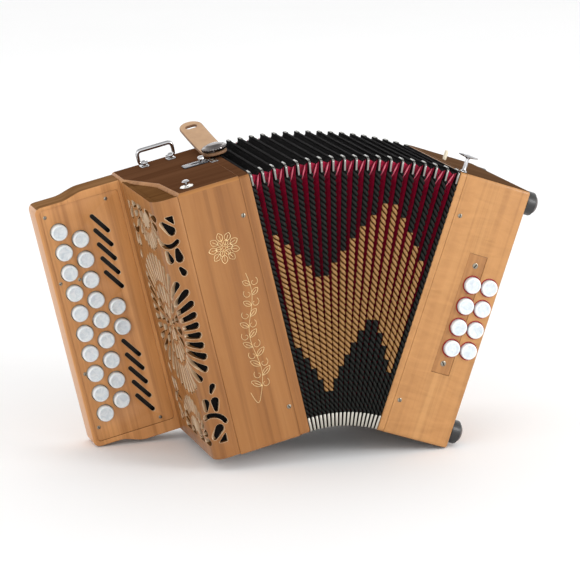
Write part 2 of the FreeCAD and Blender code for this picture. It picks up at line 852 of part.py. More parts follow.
for number, (x, z) in enumerate(bass_button_places(), start=1):
    subpart("bass_button_%d" % number, "bass", button(x, z, "0", "bass_shank"))

doc.recompute()

# The fan leans until both halves touch the ground, centred over the origin.
lean = Placement(Vector(), Rotation(Y_AXIS, -TREBLE_LEAN))
bounds = FreeCAD.BoundBox()
for thing, half in subparts:
    thing.Placement = lean.multiply(HALVES[half])
doc.recompute()
for thing, half in subparts:
    bounds.add(thing.Shape.BoundBox)
stand = Vector(-bounds.Center.x, -bounds.Center.y, -bounds.ZMin)
for thing, half in subparts:
    thing.Placement = Placement(stand, Rotation()).multiply(thing.Placement)
doc.recompute()

for thing in doc.Objects:
    if "Invalid" in thing.State or "Error" in thing.State:
        raise RuntimeError("%s did not rebuild: %s" % (thing.Label, thing.State))
os.makedirs("parts", exist_ok=True)
for thing, half in subparts:
    shape = thing.Shape
    if shape.isNull() or not shape.isValid() or not shape.Solids:
        raise RuntimeError("%s has no sound solid" % thing.Label)
    shape.exportStep("parts/%s.step" % thing.Label)
print("wrote %d sub-parts, stand %s, size %s" % (len(subparts), stand, bounds))
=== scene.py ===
"""The looks of the button accordion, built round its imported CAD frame.

Each half of the instrument is drawn upright in its own frame, in millimetres: x from the
treble end to the bass end, y from the front face to the back, z up, x = 0 at the bellows.
"""

import json
import math
from contextlib import contextmanager

import bmesh
import bpy
from mathutils import Matrix, Vector
from mathutils.geometry import delaunay_2d_cdt


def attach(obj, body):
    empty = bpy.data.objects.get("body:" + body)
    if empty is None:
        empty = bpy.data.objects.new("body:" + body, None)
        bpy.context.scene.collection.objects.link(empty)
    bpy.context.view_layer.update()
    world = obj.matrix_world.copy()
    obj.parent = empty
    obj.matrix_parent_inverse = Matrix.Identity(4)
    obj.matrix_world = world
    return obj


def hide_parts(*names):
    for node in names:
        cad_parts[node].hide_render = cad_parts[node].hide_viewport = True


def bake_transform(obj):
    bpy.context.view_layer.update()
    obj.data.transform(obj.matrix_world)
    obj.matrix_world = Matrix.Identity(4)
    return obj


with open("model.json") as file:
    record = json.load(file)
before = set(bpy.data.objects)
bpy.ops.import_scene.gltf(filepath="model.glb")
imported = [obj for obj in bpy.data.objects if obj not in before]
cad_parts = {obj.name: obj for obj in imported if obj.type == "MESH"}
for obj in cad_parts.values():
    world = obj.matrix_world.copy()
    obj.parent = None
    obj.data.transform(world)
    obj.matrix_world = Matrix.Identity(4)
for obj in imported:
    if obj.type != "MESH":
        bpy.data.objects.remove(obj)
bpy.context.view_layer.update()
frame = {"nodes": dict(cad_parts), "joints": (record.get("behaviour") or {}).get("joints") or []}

MM = 0.001
UP, RIGHT, FORWARD = (0, 0, 1), (1, 0, 0), (0, -1, 0)

# ---- sizes shared with the CAD model, in millimetres and degrees ------------
CASE_HIGH = 250.0
CASE_DEEP = 155.0
WALL = 6.0
TREBLE_LEAN = 12.18
FAN_ANGLE = 31.94
FOLDS = 18
FOLDS_PER_SECTION = 3
FOLD_PITCH = 3.613
FOLD_PIVOT = 0.57
TREBLE_FRAME = 10.0
BASS_FRAME = 6.3
BASS_WIDE = 71.7
TREBLE_WIDE = 92.0
FRONT_SEAM = 68.0
SEAM_BEND = (72.0, 58.0)
EDGE_ROUND = 4.0
GRILLE_BACK = 112.0
GRILLE_ROUND = 12.0
GRILLE_DROP = 1.5
KEY_LEFT, KEY_FRONT = 175.0, 122.5
KEY_LOW, KEY_HIGH = 1.5, 248.5
KEY_STEP_NEAR, KEY_STEP_FAR = 132.0, 148.0
KEY_STEP_LOW, KEY_STEP_HIGH = 6.5, 4.5
KEY_ROUND = 6.0
PLATE = (-171.0, -95.0, 13.0, 241.0)
PLATE_SUNK = 0.6
BUTTON_RADIUS = 7.6
BUTTON_PROUD = 4.2
BUTTON_LONG = 9.0
BUTTON_HOLE = 8.2
FIRST_BUTTON = (-157.7, 217.1)
BUTTON_PITCH = 19.9
ROW_STEP, ROW_DROP = 17.9, 11.9
TREBLE_ROWS = ((10, 0, 0), (9, 1, 0), (2, 2, 3))
BASS_FIRST = (44.4, 152.9)
BASS_PITCH, BASS_STEP, BASS_RISE = 20.4, 16.7, 1.5
BASS_BORE = 9.5
BASS_PLATE = (32.5, 50.7, 66.0, 181.0)
BELLOWS_FRONT, BELLOWS_DEEP = 2.0, 151.0
BELLOWS_TALL = 249.5
SNAP = (-3.0, 98.0)
STUD = (3.1, 4.2)
PIN = (16.7, 91.9)
ROSETTE = (-54.0, 18.0)
AIR_BUTTON = (38.0, 196.0)
AIR_HOLE = 8.5

# ---- where the two halves and the crests stand ------------------------------


def joint_at(name):
    return next(Vector(j["pos_m"]) for j in frame["joints"] if j["name"] == name)


def fold_step(angle):
    half = Matrix.Translation((FOLD_PITCH / 2 * MM, 0, 0))
    down = Matrix.Translation((0, 0, FOLD_PIVOT * MM))
    return half @ down @ Matrix.Rotation(angle, 4, "Y") @ down.inverted() @ half


ONE_FOLD = fold_step(math.radians(FAN_ANGLE / FOLDS))
UPRIGHT = Matrix.Rotation(math.radians(-TREBLE_LEAN), 4, "Y")
FIRST_PIVOT = ONE_FOLD @ Vector((FOLD_PITCH / 2 * MM, 0, FOLD_PIVOT * MM))
TREBLE = Matrix.Translation(joint_at("fan_1") - UPRIGHT @ FIRST_PIVOT) @ UPRIGHT


def crest_frame(crest):
    here = TREBLE.copy()
    for _ in range(crest):
        here = here @ ONE_FOLD
    return here


HALVES = {"treble": TREBLE, "bass": crest_frame(FOLDS)}

# ---- materials --------------------------------------------------------------

MATERIALS = {}


class Paint:
    """A material's node tree, with short calls for the nodes it needs."""

    def __init__(self, name):
        self.material = MATERIALS[name] = bpy.data.materials.new(name)
        self.material.use_nodes = True
        self.tree = self.material.node_tree
        self.shader = self.tree.nodes["Principled BSDF"]
        self.coords = self.tree.nodes.new("ShaderNodeTexCoord").outputs["Object"]

    def put(self, node, **values):
        """Sets a node's inputs: another node's output is linked, anything else is set."""
        for name, value in values.items():
            socket = node.inputs[name.replace("_", " ")]
            if isinstance(value, bpy.types.NodeSocket):
                self.tree.links.new(value, socket)
            else:
                socket.default_value = (*value, 1) if socket.type == "RGBA" else value
        return node

    def node(self, kind, output, **values):
        return self.put(self.tree.nodes.new("ShaderNode" + kind), **values).outputs[output]

    def stretched(self, scale):
        return self.node("Mapping", "Vector", Vector=self.coords, Scale=scale)

    def noise(self, vector, scale, detail=4, distortion=0.0, roughness=0.55):
        return self.node("TexNoise", "Fac", Vector=vector, Scale=scale, Detail=detail,
                         Distortion=distortion, Roughness=roughness)

    def ramp(self, factor, *stops):
        node = self.tree.nodes.new("ShaderNodeValToRGB")
        points = node.color_ramp.elements
        while len(points) < len(stops):
            points.new(0.5)
        for point, (place, colour) in zip(points, stops):
            point.position, point.color = place, (*colour, 1)
        return self.put(node, Fac=factor).outputs["Color"]

    def mix(self, factor, first, second, mode="MIX"):
        node = self.tree.nodes.new("ShaderNodeMixRGB")
        node.blend_type = mode
        return self.put(node, Fac=factor, Color1=first, Color2=second).outputs["Color"]

    def range(self, factor, low, high):
        return self.node("MapRange", "Result", Value=factor, To_Min=low, To_Max=high)

    def finish(self, colour, wear, roughness, height, strength, depth, **values):
        """Wires the colour, the roughness range over the wear and the bump, and sets the rest."""
        bump = self.node("Bump", "Normal", Height=height, Strength=strength, Distance=depth)
        self.put(self.shader, Base_Color=colour, Roughness=self.range(wear, *roughness),
                 Normal=bump, **values)


def scaled(colour, factor):
    return tuple(min(1, factor * c) for c in colour)


def wood(name, pale, middle, dark, figure=0.0, coat=0.12, along="z", shine=0.3):
    """Varnished wood: long soft growth bands, fine pores along the grain, optional ripple."""
    paint = Paint(name)
    long_way = {"z": (1, 1, 0.06), "x": (0.06, 1, 1)}[along]
    grain = paint.stretched(long_way)
    bands = paint.noise(grain, 42, detail=6, distortion=0.6)
    pores = paint.noise(grain, 900, detail=3, roughness=0.7)
    broad = paint.noise(paint.coords, 9, detail=2)
    base = paint.ramp(bands, (0.30, dark), (0.52, middle), (0.74, pale))
    base = paint.mix(paint.range(pores, 0.0, 0.30), base, scaled(dark, 0.55))
    base = paint.mix(paint.range(broad, 0.0, 0.2), base, middle)
    thin = paint.stretched(tuple(0.3 * c if c < 1 else c for c in long_way))
    streaks = paint.ramp(paint.noise(thin, 150, detail=3), (0.36, (0.62, 0.55, 0.48)), (0.50, (1, 1, 1)))
    base = paint.mix(0.55, base, streaks, "MULTIPLY")
    if figure:
        ripple = paint.noise(paint.stretched((0.25, 1, 1)), 120, detail=2, distortion=1.2)
        base = paint.mix(paint.range(ripple, 0.0, figure), base, scaled(pale, 1.5))
    paint.finish(base, bands, (0.30, 0.42), pores, 0.06, 0.0003, Coat_Weight=coat,
                 Coat_Roughness=0.15, Specular_IOR_Level=shine)


def metal(name, colour, roughness, streak=0.06):
    paint = Paint(name)
    wear = paint.noise(paint.coords, 160, detail=5)
    worn = paint.mix(paint.range(wear, 0.0, 0.35), colour, scaled(colour, 0.72))
    paint.finish(worn, wear, (max(0.02, roughness - streak), roughness + streak),
                 paint.noise(paint.coords, 900), 0.03, 0.0001, Metallic=1.0)


def leather(name, pale, dark, roughness=0.6, grain=1400.0, coat=0.0):
    paint = Paint(name)
    patches = paint.noise(paint.coords, 60, detail=5)
    cells = paint.node("TexVoronoi", "Distance", Vector=paint.coords, Scale=grain)
    paint.finish(paint.ramp(patches, (0.3, dark), (0.7, pale)), patches,
                 (roughness - 0.08, roughness + 0.1), cells, 0.35, 0.0003, Coat_Weight=coat,
                 Coat_Roughness=0.2)


def cloth(name, pale, dark, roughness=0.8, weave=1600.0, sheen=0.3):
    paint = Paint(name)
    node = paint.tree.nodes.new("ShaderNodeTexWave")
    node.bands_direction = "DIAGONAL"
    threads = paint.put(node, Vector=paint.coords, Scale=weave, Distortion=1.5, Detail=2).outputs["Fac"]
    patches = paint.noise(paint.coords, 90, detail=4)
    dyed = paint.ramp(patches, (0.3, dark), (0.7, pale))
    paint.finish(paint.mix(paint.range(threads, 0.0, 0.6), dyed, dark), patches,
                 (roughness - 0.08, roughness + 0.08), threads, 0.3, 0.0002, Sheen_Weight=sheen,
                 Sheen_Roughness=0.4, Specular_IOR_Level=0.05)


def gloss(name, pale, dark, roughness=0.18, coat=0.6, scale=120.0, subsurface=0.0, shine=0.5):
    paint = Paint(name)
    clouds = paint.noise(paint.coords, scale, detail=4, distortion=1.5)
    paint.finish(paint.ramp(clouds, (0.32, dark), (0.62, pale)), clouds,
                 (roughness - 0.06, roughness + 0.08), clouds, 0.04, 0.0002, Coat_Weight=coat,
                 Coat_Roughness=0.05, Subsurface_Weight=subsurface, Specular_IOR_Level=shine)


# The _top and _lid woods are darker copies of the casing woods, with no coat and no specular. They are
# painted shade on faces that look up or down, which the frontal lights leave in shade.
MATT_TOP = {"coat": 0.0, "along": "x", "shine": 0.0}
wood("case", (0.40, 0.182, 0.058), (0.325, 0.136, 0.038), (0.24, 0.092, 0.024))
# A lighter wood for the rounded rim along the casing top: a painted highlight where the rim catches the
# light.
wood("case_edge_highlight", (0.50, 0.245, 0.09), (0.42, 0.195, 0.067), (0.32, 0.138, 0.044), coat=0.0, along="x",
     shine=0.1)
wood("case_top", (0.155, 0.070, 0.034), (0.125, 0.054, 0.025), (0.088, 0.036, 0.016), **MATT_TOP)
wood("case_lid_shaded", (0.21, 0.102, 0.036), (0.17, 0.078, 0.027), (0.12, 0.052, 0.018), **MATT_TOP)
# The keyboard wood is painted brighter than the casing wood to make up for the shade the key light leaves
# on it: painted light.
wood("keys", (0.71, 0.355, 0.132), (0.62, 0.292, 0.102), (0.49, 0.213, 0.070))
wood("keys_top", (0.34, 0.180, 0.078), (0.27, 0.138, 0.058), (0.15, 0.070, 0.028), **MATT_TOP)
wood("bass", (0.47, 0.240, 0.088), (0.41, 0.195, 0.067), (0.33, 0.146, 0.047), figure=0.45)
wood("bass_top", (0.155, 0.085, 0.045), (0.125, 0.066, 0.034), (0.09, 0.046, 0.023), **MATT_TOP)
wood("bass_plate", (0.40, 0.190, 0.066), (0.34, 0.152, 0.050), (0.27, 0.112, 0.036), figure=0.3)
wood("inner", (0.66, 0.47, 0.27), (0.56, 0.38, 0.20), (0.44, 0.28, 0.14), coat=0.0)
# Pale wood with a glossy coat for the cut walls of holes. Cut wood is paler, and it is made paler still
# as a painted highlight for the glints along the openings.
wood("cut_edge_glint", (0.72, 0.55, 0.37), (0.60, 0.42, 0.26), (0.46, 0.29, 0.16), coat=0.7)
wood("dark_board", (0.030, 0.024, 0.020), (0.018, 0.014, 0.012), (0.010, 0.008, 0.007), coat=0.0)
cloth("lining", (0.012, 0.010, 0.010), (0.004, 0.004, 0.004), 0.9, sheen=0.0)
cloth("crimson", (0.36, 0.005, 0.036), (0.22, 0.003, 0.022), 0.6, sheen=0.1)
cloth("black_cloth", (0.006, 0.005, 0.005), (0.003, 0.0025, 0.003), 0.8, sheen=0.0)
cloth("felt", (0.40, 0.012, 0.014), (0.24, 0.006, 0.008), 0.95, 1200.0, 0.8)
leather("red_leather", (0.34, 0.006, 0.036), (0.20, 0.004, 0.021), 0.26, grain=900.0, coat=0.8)
# Light pink leather for the bead along each gusset's crease: a painted highlight on the fold.
leather("crease_highlight", (0.62, 0.09, 0.15), (0.42, 0.03, 0.07), 0.25, grain=900.0, coat=1.0)
leather("tan", (0.54, 0.335, 0.185), (0.42, 0.24, 0.12), 0.62)
leather("tan_edge", (0.24, 0.12, 0.055), (0.15, 0.07, 0.03), 0.55)
leather("strap_black", (0.030, 0.026, 0.024), (0.014, 0.012, 0.011), 0.5)
gloss("black_braid", (0.010, 0.011, 0.009), (0.005, 0.005, 0.005), 0.45, 0.0, 700.0, shine=0.12)
# The groove paints are darker copies of the braid paints for the hollows between the strands: painted
# shade.
gloss("black_groove", (0.004, 0.004, 0.004), (0.002, 0.002, 0.002), 0.7, 0.0, 700.0, shine=0.0)
gloss("gold_braid", (0.31, 0.160, 0.048), (0.19, 0.090, 0.024), 0.4, 0.2, 700.0, shine=0.3)
gloss("gold_groove", (0.060, 0.020, 0.004), (0.030, 0.009, 0.002), 0.6, 0.0, 700.0, shine=0.0)
gloss("pearl", (0.79, 0.80, 0.80), (0.64, 0.69, 0.72), 0.14, 0.8, 230.0, 0.05)
# A darker copy of the pearl for a button's dished crown, so that the rim shows lighter: painted shade in
# the dish.
gloss("pearl_dish_shaded", (0.68, 0.71, 0.73), (0.50, 0.56, 0.61), 0.10, 0.9, 160.0, 0.05)
gloss("ivory", (0.85, 0.78, 0.60), (0.72, 0.62, 0.44), 0.25, 0.4, 300.0)
gloss("rubber", (0.018, 0.018, 0.018), (0.010, 0.010, 0.010), 0.42, 0.1, 400.0)
metal("chrome", (0.50, 0.50, 0.51), 0.10, 0.04)
# Chrome with a dark base for the snap and feet domes: a painted dark reflection of the surroundings.
metal("chrome_dark_reflection", (0.16, 0.145, 0.14), 0.10, 0.03)
# Dark metal for the chrome corner hooks: a painted dark reflection of the surroundings.
metal("hook_dark_reflection", (0.30, 0.30, 0.28), 0.20, 0.05)
metal("tin", (0.46, 0.44, 0.39), 0.42)
metal("nickel", (0.74, 0.71, 0.65), 0.20)
metal("steel", (0.30, 0.27, 0.22), 0.30)
metal("aluminium", (0.70, 0.70, 0.70), 0.35)
metal("black_nickel", (0.10, 0.10, 0.11), 0.22)
metal("gold_line", (0.88, 0.68, 0.38), 0.34)

# ---- mesh toolkit -----------------------------------------------------------


def turns(count):
    """Evenly spaced angles round a full circle."""
    return [2 * math.pi * k / count for k in range(count)]


def lift(point, level, plane):
    """A point of a flat outline, raised to a level along the third axis."""
    up = {"xy": 2, "xz": 1, "yz": 0}[plane]
    return (*point[:up], level, *point[up:])


@contextmanager
def edited(data):
    """Opens a mesh for editing and writes it back."""
    work = bmesh.new()
    work.from_mesh(data)
    yield work
    work.to_mesh(data)
    work.free()


class Shape:
    """Vertices and faces in millimetres, gathered from several simple forms."""

    def __init__(self):
        self.points, self.faces, self.paints, self.names = [], [], [], []

    def paint(self, name):
        if name not in self.names:
            self.names.append(name)
        return self.names.index(name)

    def add(self, points, faces, paint):
        start = len(self.points)
        self.points += [tuple(p) for p in points]
        self.faces += [tuple(start + i for i in face) for face in faces]
        self.paints += [self.paint(paint)] * len(faces)
        return self

    def loft(self, loops, paint, capped=True):
        """Joins closed loops of equal length; caps close the two ends."""
        count = len(loops[0])
        last = (len(loops) - 1) * count
        faces = []
        for a in range(0, last, count):
            for i in range(count):
                j = (i + 1) % count
                faces.append((a + i, a + j, a + count + j, a + count + i))
        if capped:
            faces += [tuple(reversed(range(count))), tuple(range(last, last + count))]
        return self.add([p for loop in loops for p in loop], faces, paint)

    def lathe(self, centre, along, profile, paint, sides=40):
        """Turns (radius, height) points round an axis through centre."""
        turn = Vector(UP).rotation_difference(Vector(along)).to_matrix()
        return self.loft([[Vector(centre) + turn @ Vector((r * math.cos(a), r * math.sin(a), height))
                           for a in turns(sides)] for r, height in profile], paint)

    def tube(self, path, radius, paint, sides=12):
        """A round tube along a path; radius may be a number or a function of 0..1."""
        path = [Vector(p) for p in path]
        last = len(path) - 1
        loops = []
        normal = None
        for i, p in enumerate(path):
            direction = (path[min(i + 1, last)] - path[max(i - 1, 0)]).normalized()
            if normal is None:
                normal = direction.orthogonal().normalized()
            normal = (normal - direction * normal.dot(direction)).normalized()
            other = direction.cross(normal)
            r = radius(i / last) if callable(radius) else radius
            loops.append([p + normal * r * math.cos(a) + other * r * math.sin(a) for a in turns(sides)])
        return self.loft(loops, paint)

    def prism(self, outline, low, high, paint, plane="xy"):
        """A closed outline pulled from low to high along the third axis."""
        return self.loft([[lift(p, level, plane) for p in outline] for level in (low, high)], paint)

    def block(self, low, high, paint):
        return self.prism(rectangle(low[0], high[0], low[1], high[1]), low[2], high[2], paint)

    def mesh(self, name):
        data = bpy.data.meshes.new(name)
        data.from_pydata([(x * MM, y * MM, z * MM) for x, y, z in self.points], [], self.faces)
        for paint in self.names:
            data.materials.append(MATERIALS[paint])
        data.polygons.foreach_set("material_index", self.paints)
        with edited(data) as work:
            bmesh.ops.recalc_face_normals(work, faces=work.faces)
        return data


def smooth(data, angle=38):
    data.polygons.foreach_set("use_smooth", [True] * len(data.polygons))
    data.set_sharp_from_angle(angle=math.radians(angle))


def link(name, data, place):
    thing = bpy.data.objects.new(name, data)
    bpy.context.scene.collection.objects.link(thing)
    thing.matrix_world = place
    return thing


def carve(thing, cutters):
    """Cuts closed shapes out of an object, one after another."""
    for shape in cutters:
        tool = link("cutter", shape.mesh("cutter"), thing.matrix_world)
        cut = thing.modifiers.new("Cut", "BOOLEAN")
        cut.object, cut.operation, cut.solver = tool, "DIFFERENCE", "EXACT"
        graph = bpy.context.evaluated_depsgraph_get()
        made = bpy.data.meshes.new_from_object(thing.evaluated_get(graph))
        thing.modifiers.clear()
        thing.data = made
        bpy.data.objects.remove(tool)


def repaint(data, test, paint):
    """Gives another material to the faces whose normal and centre pass a test."""
    data.materials.append(MATERIALS[paint])
    for polygon in data.polygons:
        if test(polygon.normal, polygon.center / MM):
            polygon.material_index = len(data.materials) - 1


# The upward rounded rim, which takes the lighter edge wood as a painted highlight.
def highlit_rounded_edge(normal, centre):
    return 0.3 < normal.z <= 0.95


# Faces that look up or down. They take the darker woods as painted shade.
def shaded_flat_face(normal, centre):
    return abs(normal.z) > 0.8


def piece(name, source, half, slot, *nodes, body=None, place=None, cuts=(), paints=()):
    """Builds a piece from a shape or a mesh: its cuts, paints, body and CAD nodes; the slot is not used.
    """
    data = source.mesh(name) if isinstance(source, Shape) else source
    thing = link(name, data, place or HALVES[half])
    carve(thing, cuts)
    for test, paint in paints:
        repaint(thing.data, test, paint)
    smooth(thing.data)
    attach(thing, body or half)
    if nodes:
        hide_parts(*nodes)
    return thing


# ---- outlines ---------------------------------------------------------------


def arc(centre, radius, first, last, steps):
    """Points on a circle in a plane, from one angle to another in degrees."""
    angles = [math.radians(first + (last - first) * i / steps) for i in range(steps + 1)]
    return [(centre[0] + radius * math.cos(a), centre[1] + radius * math.sin(a)) for a in angles]


def circle(centre, radius, steps=40):
    return arc(centre, radius, 0, 360, steps)[:-1]


def rectangle(left, right, low, high):
    return [(left, low), (right, low), (right, high), (left, high)]


def signed_area(outline):
    return sum(outline[i - 1][0] * outline[i][1] - outline[i][0] * outline[i - 1][1]
               for i in range(len(outline))) / 2


def filleted(points, radii, steps=5):
    """Rounds each corner of a closed outline by its own radius."""
    out = []
    for i, radius in enumerate(radii):
        p = Vector(points[i])
        if not radius:
            out.append(tuple(p))
            continue
        a = (Vector(points[i - 1]) - p).normalized()
        b = (Vector(points[(i + 1) % len(points)]) - p).normalized()
        half = a.angle(b) / 2
        middle = p + (a + b).normalized() * radius / math.sin(half)
        first, last = p + a * radius / math.tan(half), p + b * radius / math.tan(half)
        start, turn = first - middle, (last - middle).angle_signed(first - middle)
        out += [tuple(middle + Matrix.Rotation(turn * k / steps, 2) @ start) for k in range(steps + 1)]
    return out


def inset(outline, distance, still=lambda a, b: False):
    """Moves each edge of a closed outline inwards, except those that stay still."""
    side = 1 if signed_area(outline) > 0 else -1
    lines = []
    for i, point in enumerate(outline):
        a, b = Vector(point), Vector(outline[(i + 1) % len(outline)])
        along = (b - a).normalized()
        inward = Vector((-along.y, along.x)) * side
        lines.append((a + inward * (0 if still(a, b) else distance), along))
    moved = []
    for i, (q, e) in enumerate(lines):
        p, d = lines[i - 1]
        cross = d.x * e.y - d.y * e.x
        gap = q - p
        moved.append(tuple(q) if abs(cross) < 1e-3
                     else tuple(p + d * ((gap.x * e.y - gap.y * e.x) / cross)))
    return moved


def held_at(x):
    """A test for the edge of an outline that the next part covers."""
    return lambda a, b: min(a.x, b.x) > x - 0.01


def pillow(shape, corners, low, high, paint, plane="xy", radii=None, low_round=1.0,
           high_round=1.0, still=lambda a, b: False, steps=4):
    """A board whose two rims are rounded: the outline is drawn in a little near each end."""
    quarter = [math.pi / 2 * k / steps for k in range(steps + 1)]
    levels = [(low + low_round * (1 - math.cos(a)), low_round * (1 - math.sin(a))) for a in quarter]
    levels += [(high - high_round * (1 - math.cos(a)), high_round * (1 - math.sin(a)))
               for a in reversed(quarter)]
    loops = []
    before = None
    for level, distance in levels:
        loop = inset(corners, distance, still)
        if radii:
            loop = filleted(loop, [r and max(r - distance, 0.05) for r in radii])
        if before is None or abs(level - before) > 1e-6:
            loops.append([lift(p, level, plane) for p in loop])
            before = level
    return shape.loft(loops, paint)


def rounded(points, radius, steps=4):
    """A polygon with round corners, as a function of how much larger it is drawn."""
    if signed_area(points) < 0:
        points = points[::-1]
    return lambda growth: filleted(inset(points, -growth), (radius + growth,) * len(points), steps)


def drop(start, end, near, far, steps=6):
    """A teardrop: round ends of two sizes joined by straight sides."""
    a, b = Vector(start), Vector(end)
    ahead = math.degrees(math.atan2(b.y - a.y, b.x - a.x))
    spread = math.degrees(math.acos((near - far) / (b - a).length))
    return lambda growth: (arc(b, far + growth, ahead - spread, ahead + spread, steps)
                           + arc(a, near + growth, ahead + spread, ahead + 360 - spread, steps))


def ring_hole(centre, radius, steps=40):
    return lambda growth: circle(centre, radius + growth, steps)


def crescent(centre, radius, first, last, width, steps=10):
    """A curved slot with round ends along part of a circle."""
    ends = [arc(centre, radius, angle, angle, 1)[0] for angle in (first, last)]

    def loop(growth):
        half = width / 2 + growth
        return (arc(centre, radius + half, first, last, steps)
                + arc(ends[1], half, last, last + 180, 4)[1:-1]
                + arc(centre, radius - half, last, first, steps)
                + arc(ends[0], half, first + 180, first + 360, 4)[1:-1])
    return loop


def slot(centre, length, width, lean=0.0):
    """A slot with round ends, its length along the second axis before it leans."""
    reach = Matrix.Rotation(math.radians(lean), 2) @ Vector((0, (length - width) / 2))
    return drop(Vector(centre) - reach, Vector(centre) + reach, width / 2, width / 2)


def pierced(name, outline, holes, thickness, bevel, paint, edge_paint=None, outline_too=False):
    """A flat plate with holes, in x and y with its thickness along z, its edges rounded.

    The outline and the holes are functions: given a distance, each returns its loop of
    points drawn that much larger.
    """
    edge_paint = edge_paint or paint
    shape = Shape()
    rim = []
    for part in (0, math.pi / 4, math.pi / 2):
        rim.append((thickness / 2 - bevel * (1 - math.cos(part)), bevel * (1 - math.sin(part))))
    rim += [(-level, growth) for level, growth in reversed(rim)]
    for sign, loop_at in [(-1, outline)] + [(1, hole) for hole in holes]:
        shape.loft([[(x, y, level) for x, y in loop_at(sign * growth)] for level, growth in rim],
                   edge_paint if sign > 0 or outline_too else paint, capped=False)
    spots, loops = [], []
    for loop in [outline(-bevel)] + [hole(bevel) for hole in holes]:
        if signed_area(loop) < 0:
            loop = loop[::-1]
        loops.append(list(range(len(spots), len(spots) + len(loop))))
        spots += [Vector(point) for point in loop]
    spots, _, faces, _, _, within = delaunay_2d_cdt(spots, [], loops, 1, 1e-5)
    faces = [face for face, owners in zip(faces, within) if owners == [0]]
    for level in (thickness / 2, -thickness / 2):
        shape.add([(x, y, level) for x, y in spots], faces, paint)
    data = shape.mesh(name)
    with edited(data) as work:
        bmesh.ops.remove_doubles(work, verts=work.verts, dist=2e-6)
        bmesh.ops.delete(work, geom=[v for v in work.verts if not v.link_faces], context="VERTS")
        bmesh.ops.recalc_face_normals(work, faces=work.faces)
    return data


def reshape(data, change):
    """Moves every vertex of a mesh by a function of its place in millimetres."""
    for vertex in data.vertices:
        vertex.co = Vector(change(*(vertex.co / MM))) * MM
    data.update()
    return data


def sliced(data, cuts, across=RIGHT):
    """Cuts a flat mesh along parallel lines so that it can bend."""
    with edited(data) as work:
        for place in cuts:
            everything = work.verts[:] + work.edges[:] + work.faces[:]
            bmesh.ops.bisect_plane(work, geom=everything, plane_co=Vector(across) * place * MM,
                                   plane_no=across)


# ---- camera and light -------------------------------------------------------

CAMERA_AT = (-0.8138, -2.7250, 0.7910)
CAMERA_TURN, CAMERA_DOWN, CAMERA_ROLL = 16.750, 12.824, -1.180
CAMERA_LENS = 195.12
SKY_LEVEL, SKY_ABOVE = 1.7, 0.62
LIGHT_AIM = (0, 0, 0.13)


def place_camera():
    data = bpy.data.cameras.new("camera")
    data.lens, data.sensor_width, data.clip_end = CAMERA_LENS, 36, 20
    turn = (Matrix.Rotation(math.radians(-CAMERA_TURN), 4, "Z")
            @ Matrix.Rotation(math.radians(90 - CAMERA_DOWN), 4, "X")
            @ Matrix.Rotation(math.radians(CAMERA_ROLL), 4, "Z"))
    bpy.context.scene.camera = link("camera", data, Matrix.Translation(CAMERA_AT) @ turn)


def area_light(name, place, size, power):
    data = bpy.data.lights.new(name, "AREA")
    data.shape, data.energy = "RECTANGLE", power
    data.size, data.size_y = size
    aim = (Vector(LIGHT_AIM) - Vector(place)).to_track_quat("-Z", "Y").to_matrix().to_4x4()
    link(name, data, Matrix.Translation(place) @ aim)


def studio():
    floor = link("floor", Shape().block((-6000, -6000, -20), (6000, 6000, 0), "lining").mesh("floor"),
                 Matrix())
    paint = Paint("pale_floor")
    speckle = paint.ramp(paint.noise(paint.coords, 3, detail=3), (0.2, (0.95,) * 3), (0.8, (0.97,) * 3))
    paint.put(paint.shader, Base_Color=speckle, Roughness=0.8, Specular_IOR_Level=0.1)
    floor.data.materials.clear()
    floor.data.materials.append(paint.material)
    world = bpy.context.scene.world = bpy.data.worlds.new("studio")
    world.use_nodes = True
    nodes, links = world.node_tree.nodes, world.node_tree.links
    nodes["Background"].inputs["Color"].default_value = (1, 1, 1, 1)
    direction = nodes.new("ShaderNodeTexCoord").outputs["Generated"]
    parts = nodes.new("ShaderNodeSeparateXYZ")
    links.new(direction, parts.inputs["Vector"])
    falloff = nodes.new("ShaderNodeMapRange")
    falloff.inputs["To Min"].default_value = SKY_LEVEL
    falloff.inputs["To Max"].default_value = SKY_ABOVE
    links.new(parts.outputs["Z"], falloff.inputs["Value"])
    links.new(falloff.outputs["Result"], nodes["Background"].inputs["Strength"])
    area_light("key", (1.9, -1.7, 0.9), (0.8, 0.8), 26)
    area_light("fill", (-1.6, -2.2, 0.8), (1.6, 1.0), 7)
    area_light("back", (0.4, 1.8, 1.6), (1.6, 0.8), 4)
    bpy.context.scene.view_settings.view_transform = "Standard"


# ---- treble casing and grille ----------------------------------------------


def treble_casing():
    corners = ((-TREBLE_FRAME, 0), (-FRONT_SEAM, 0), (-SEAM_BEND[0], SEAM_BEND[1]),
               (-TREBLE_WIDE, GRILLE_BACK), (-TREBLE_WIDE, CASE_DEEP), (-TREBLE_FRAME, CASE_DEEP))
    shell = pillow(Shape(), corners, 0, CASE_HIGH, "case", radii=(0, 1.0, 0, 0, 3.0, 0), low_round=2.0,
                   high_round=EDGE_ROUND, steps=6, still=held_at(-TREBLE_FRAME))
    inside = Shape().block((-TREBLE_WIDE + WALL, WALL, WALL),
                           (1, CASE_DEEP - WALL, CASE_HIGH - WALL), "inner")
    window = Shape().block((-TREBLE_WIDE - 1, KEY_FRONT + WALL, PLATE[2] + 3),
                           (-TREBLE_WIDE + WALL + 1, CASE_DEEP - WALL, PLATE[3] - 3), "inner")
    # Top and bottom faces take the darker top wood as painted shade. The upward rounded rim takes the
    # lighter edge wood as a painted highlight.
    piece("treble_casing_shell", shell, "treble", "case_wood", "treble_casing", cuts=(inside, window),
          paints=((shaded_flat_face, "case_top"), (highlit_rounded_edge, "case_edge_highlight")))


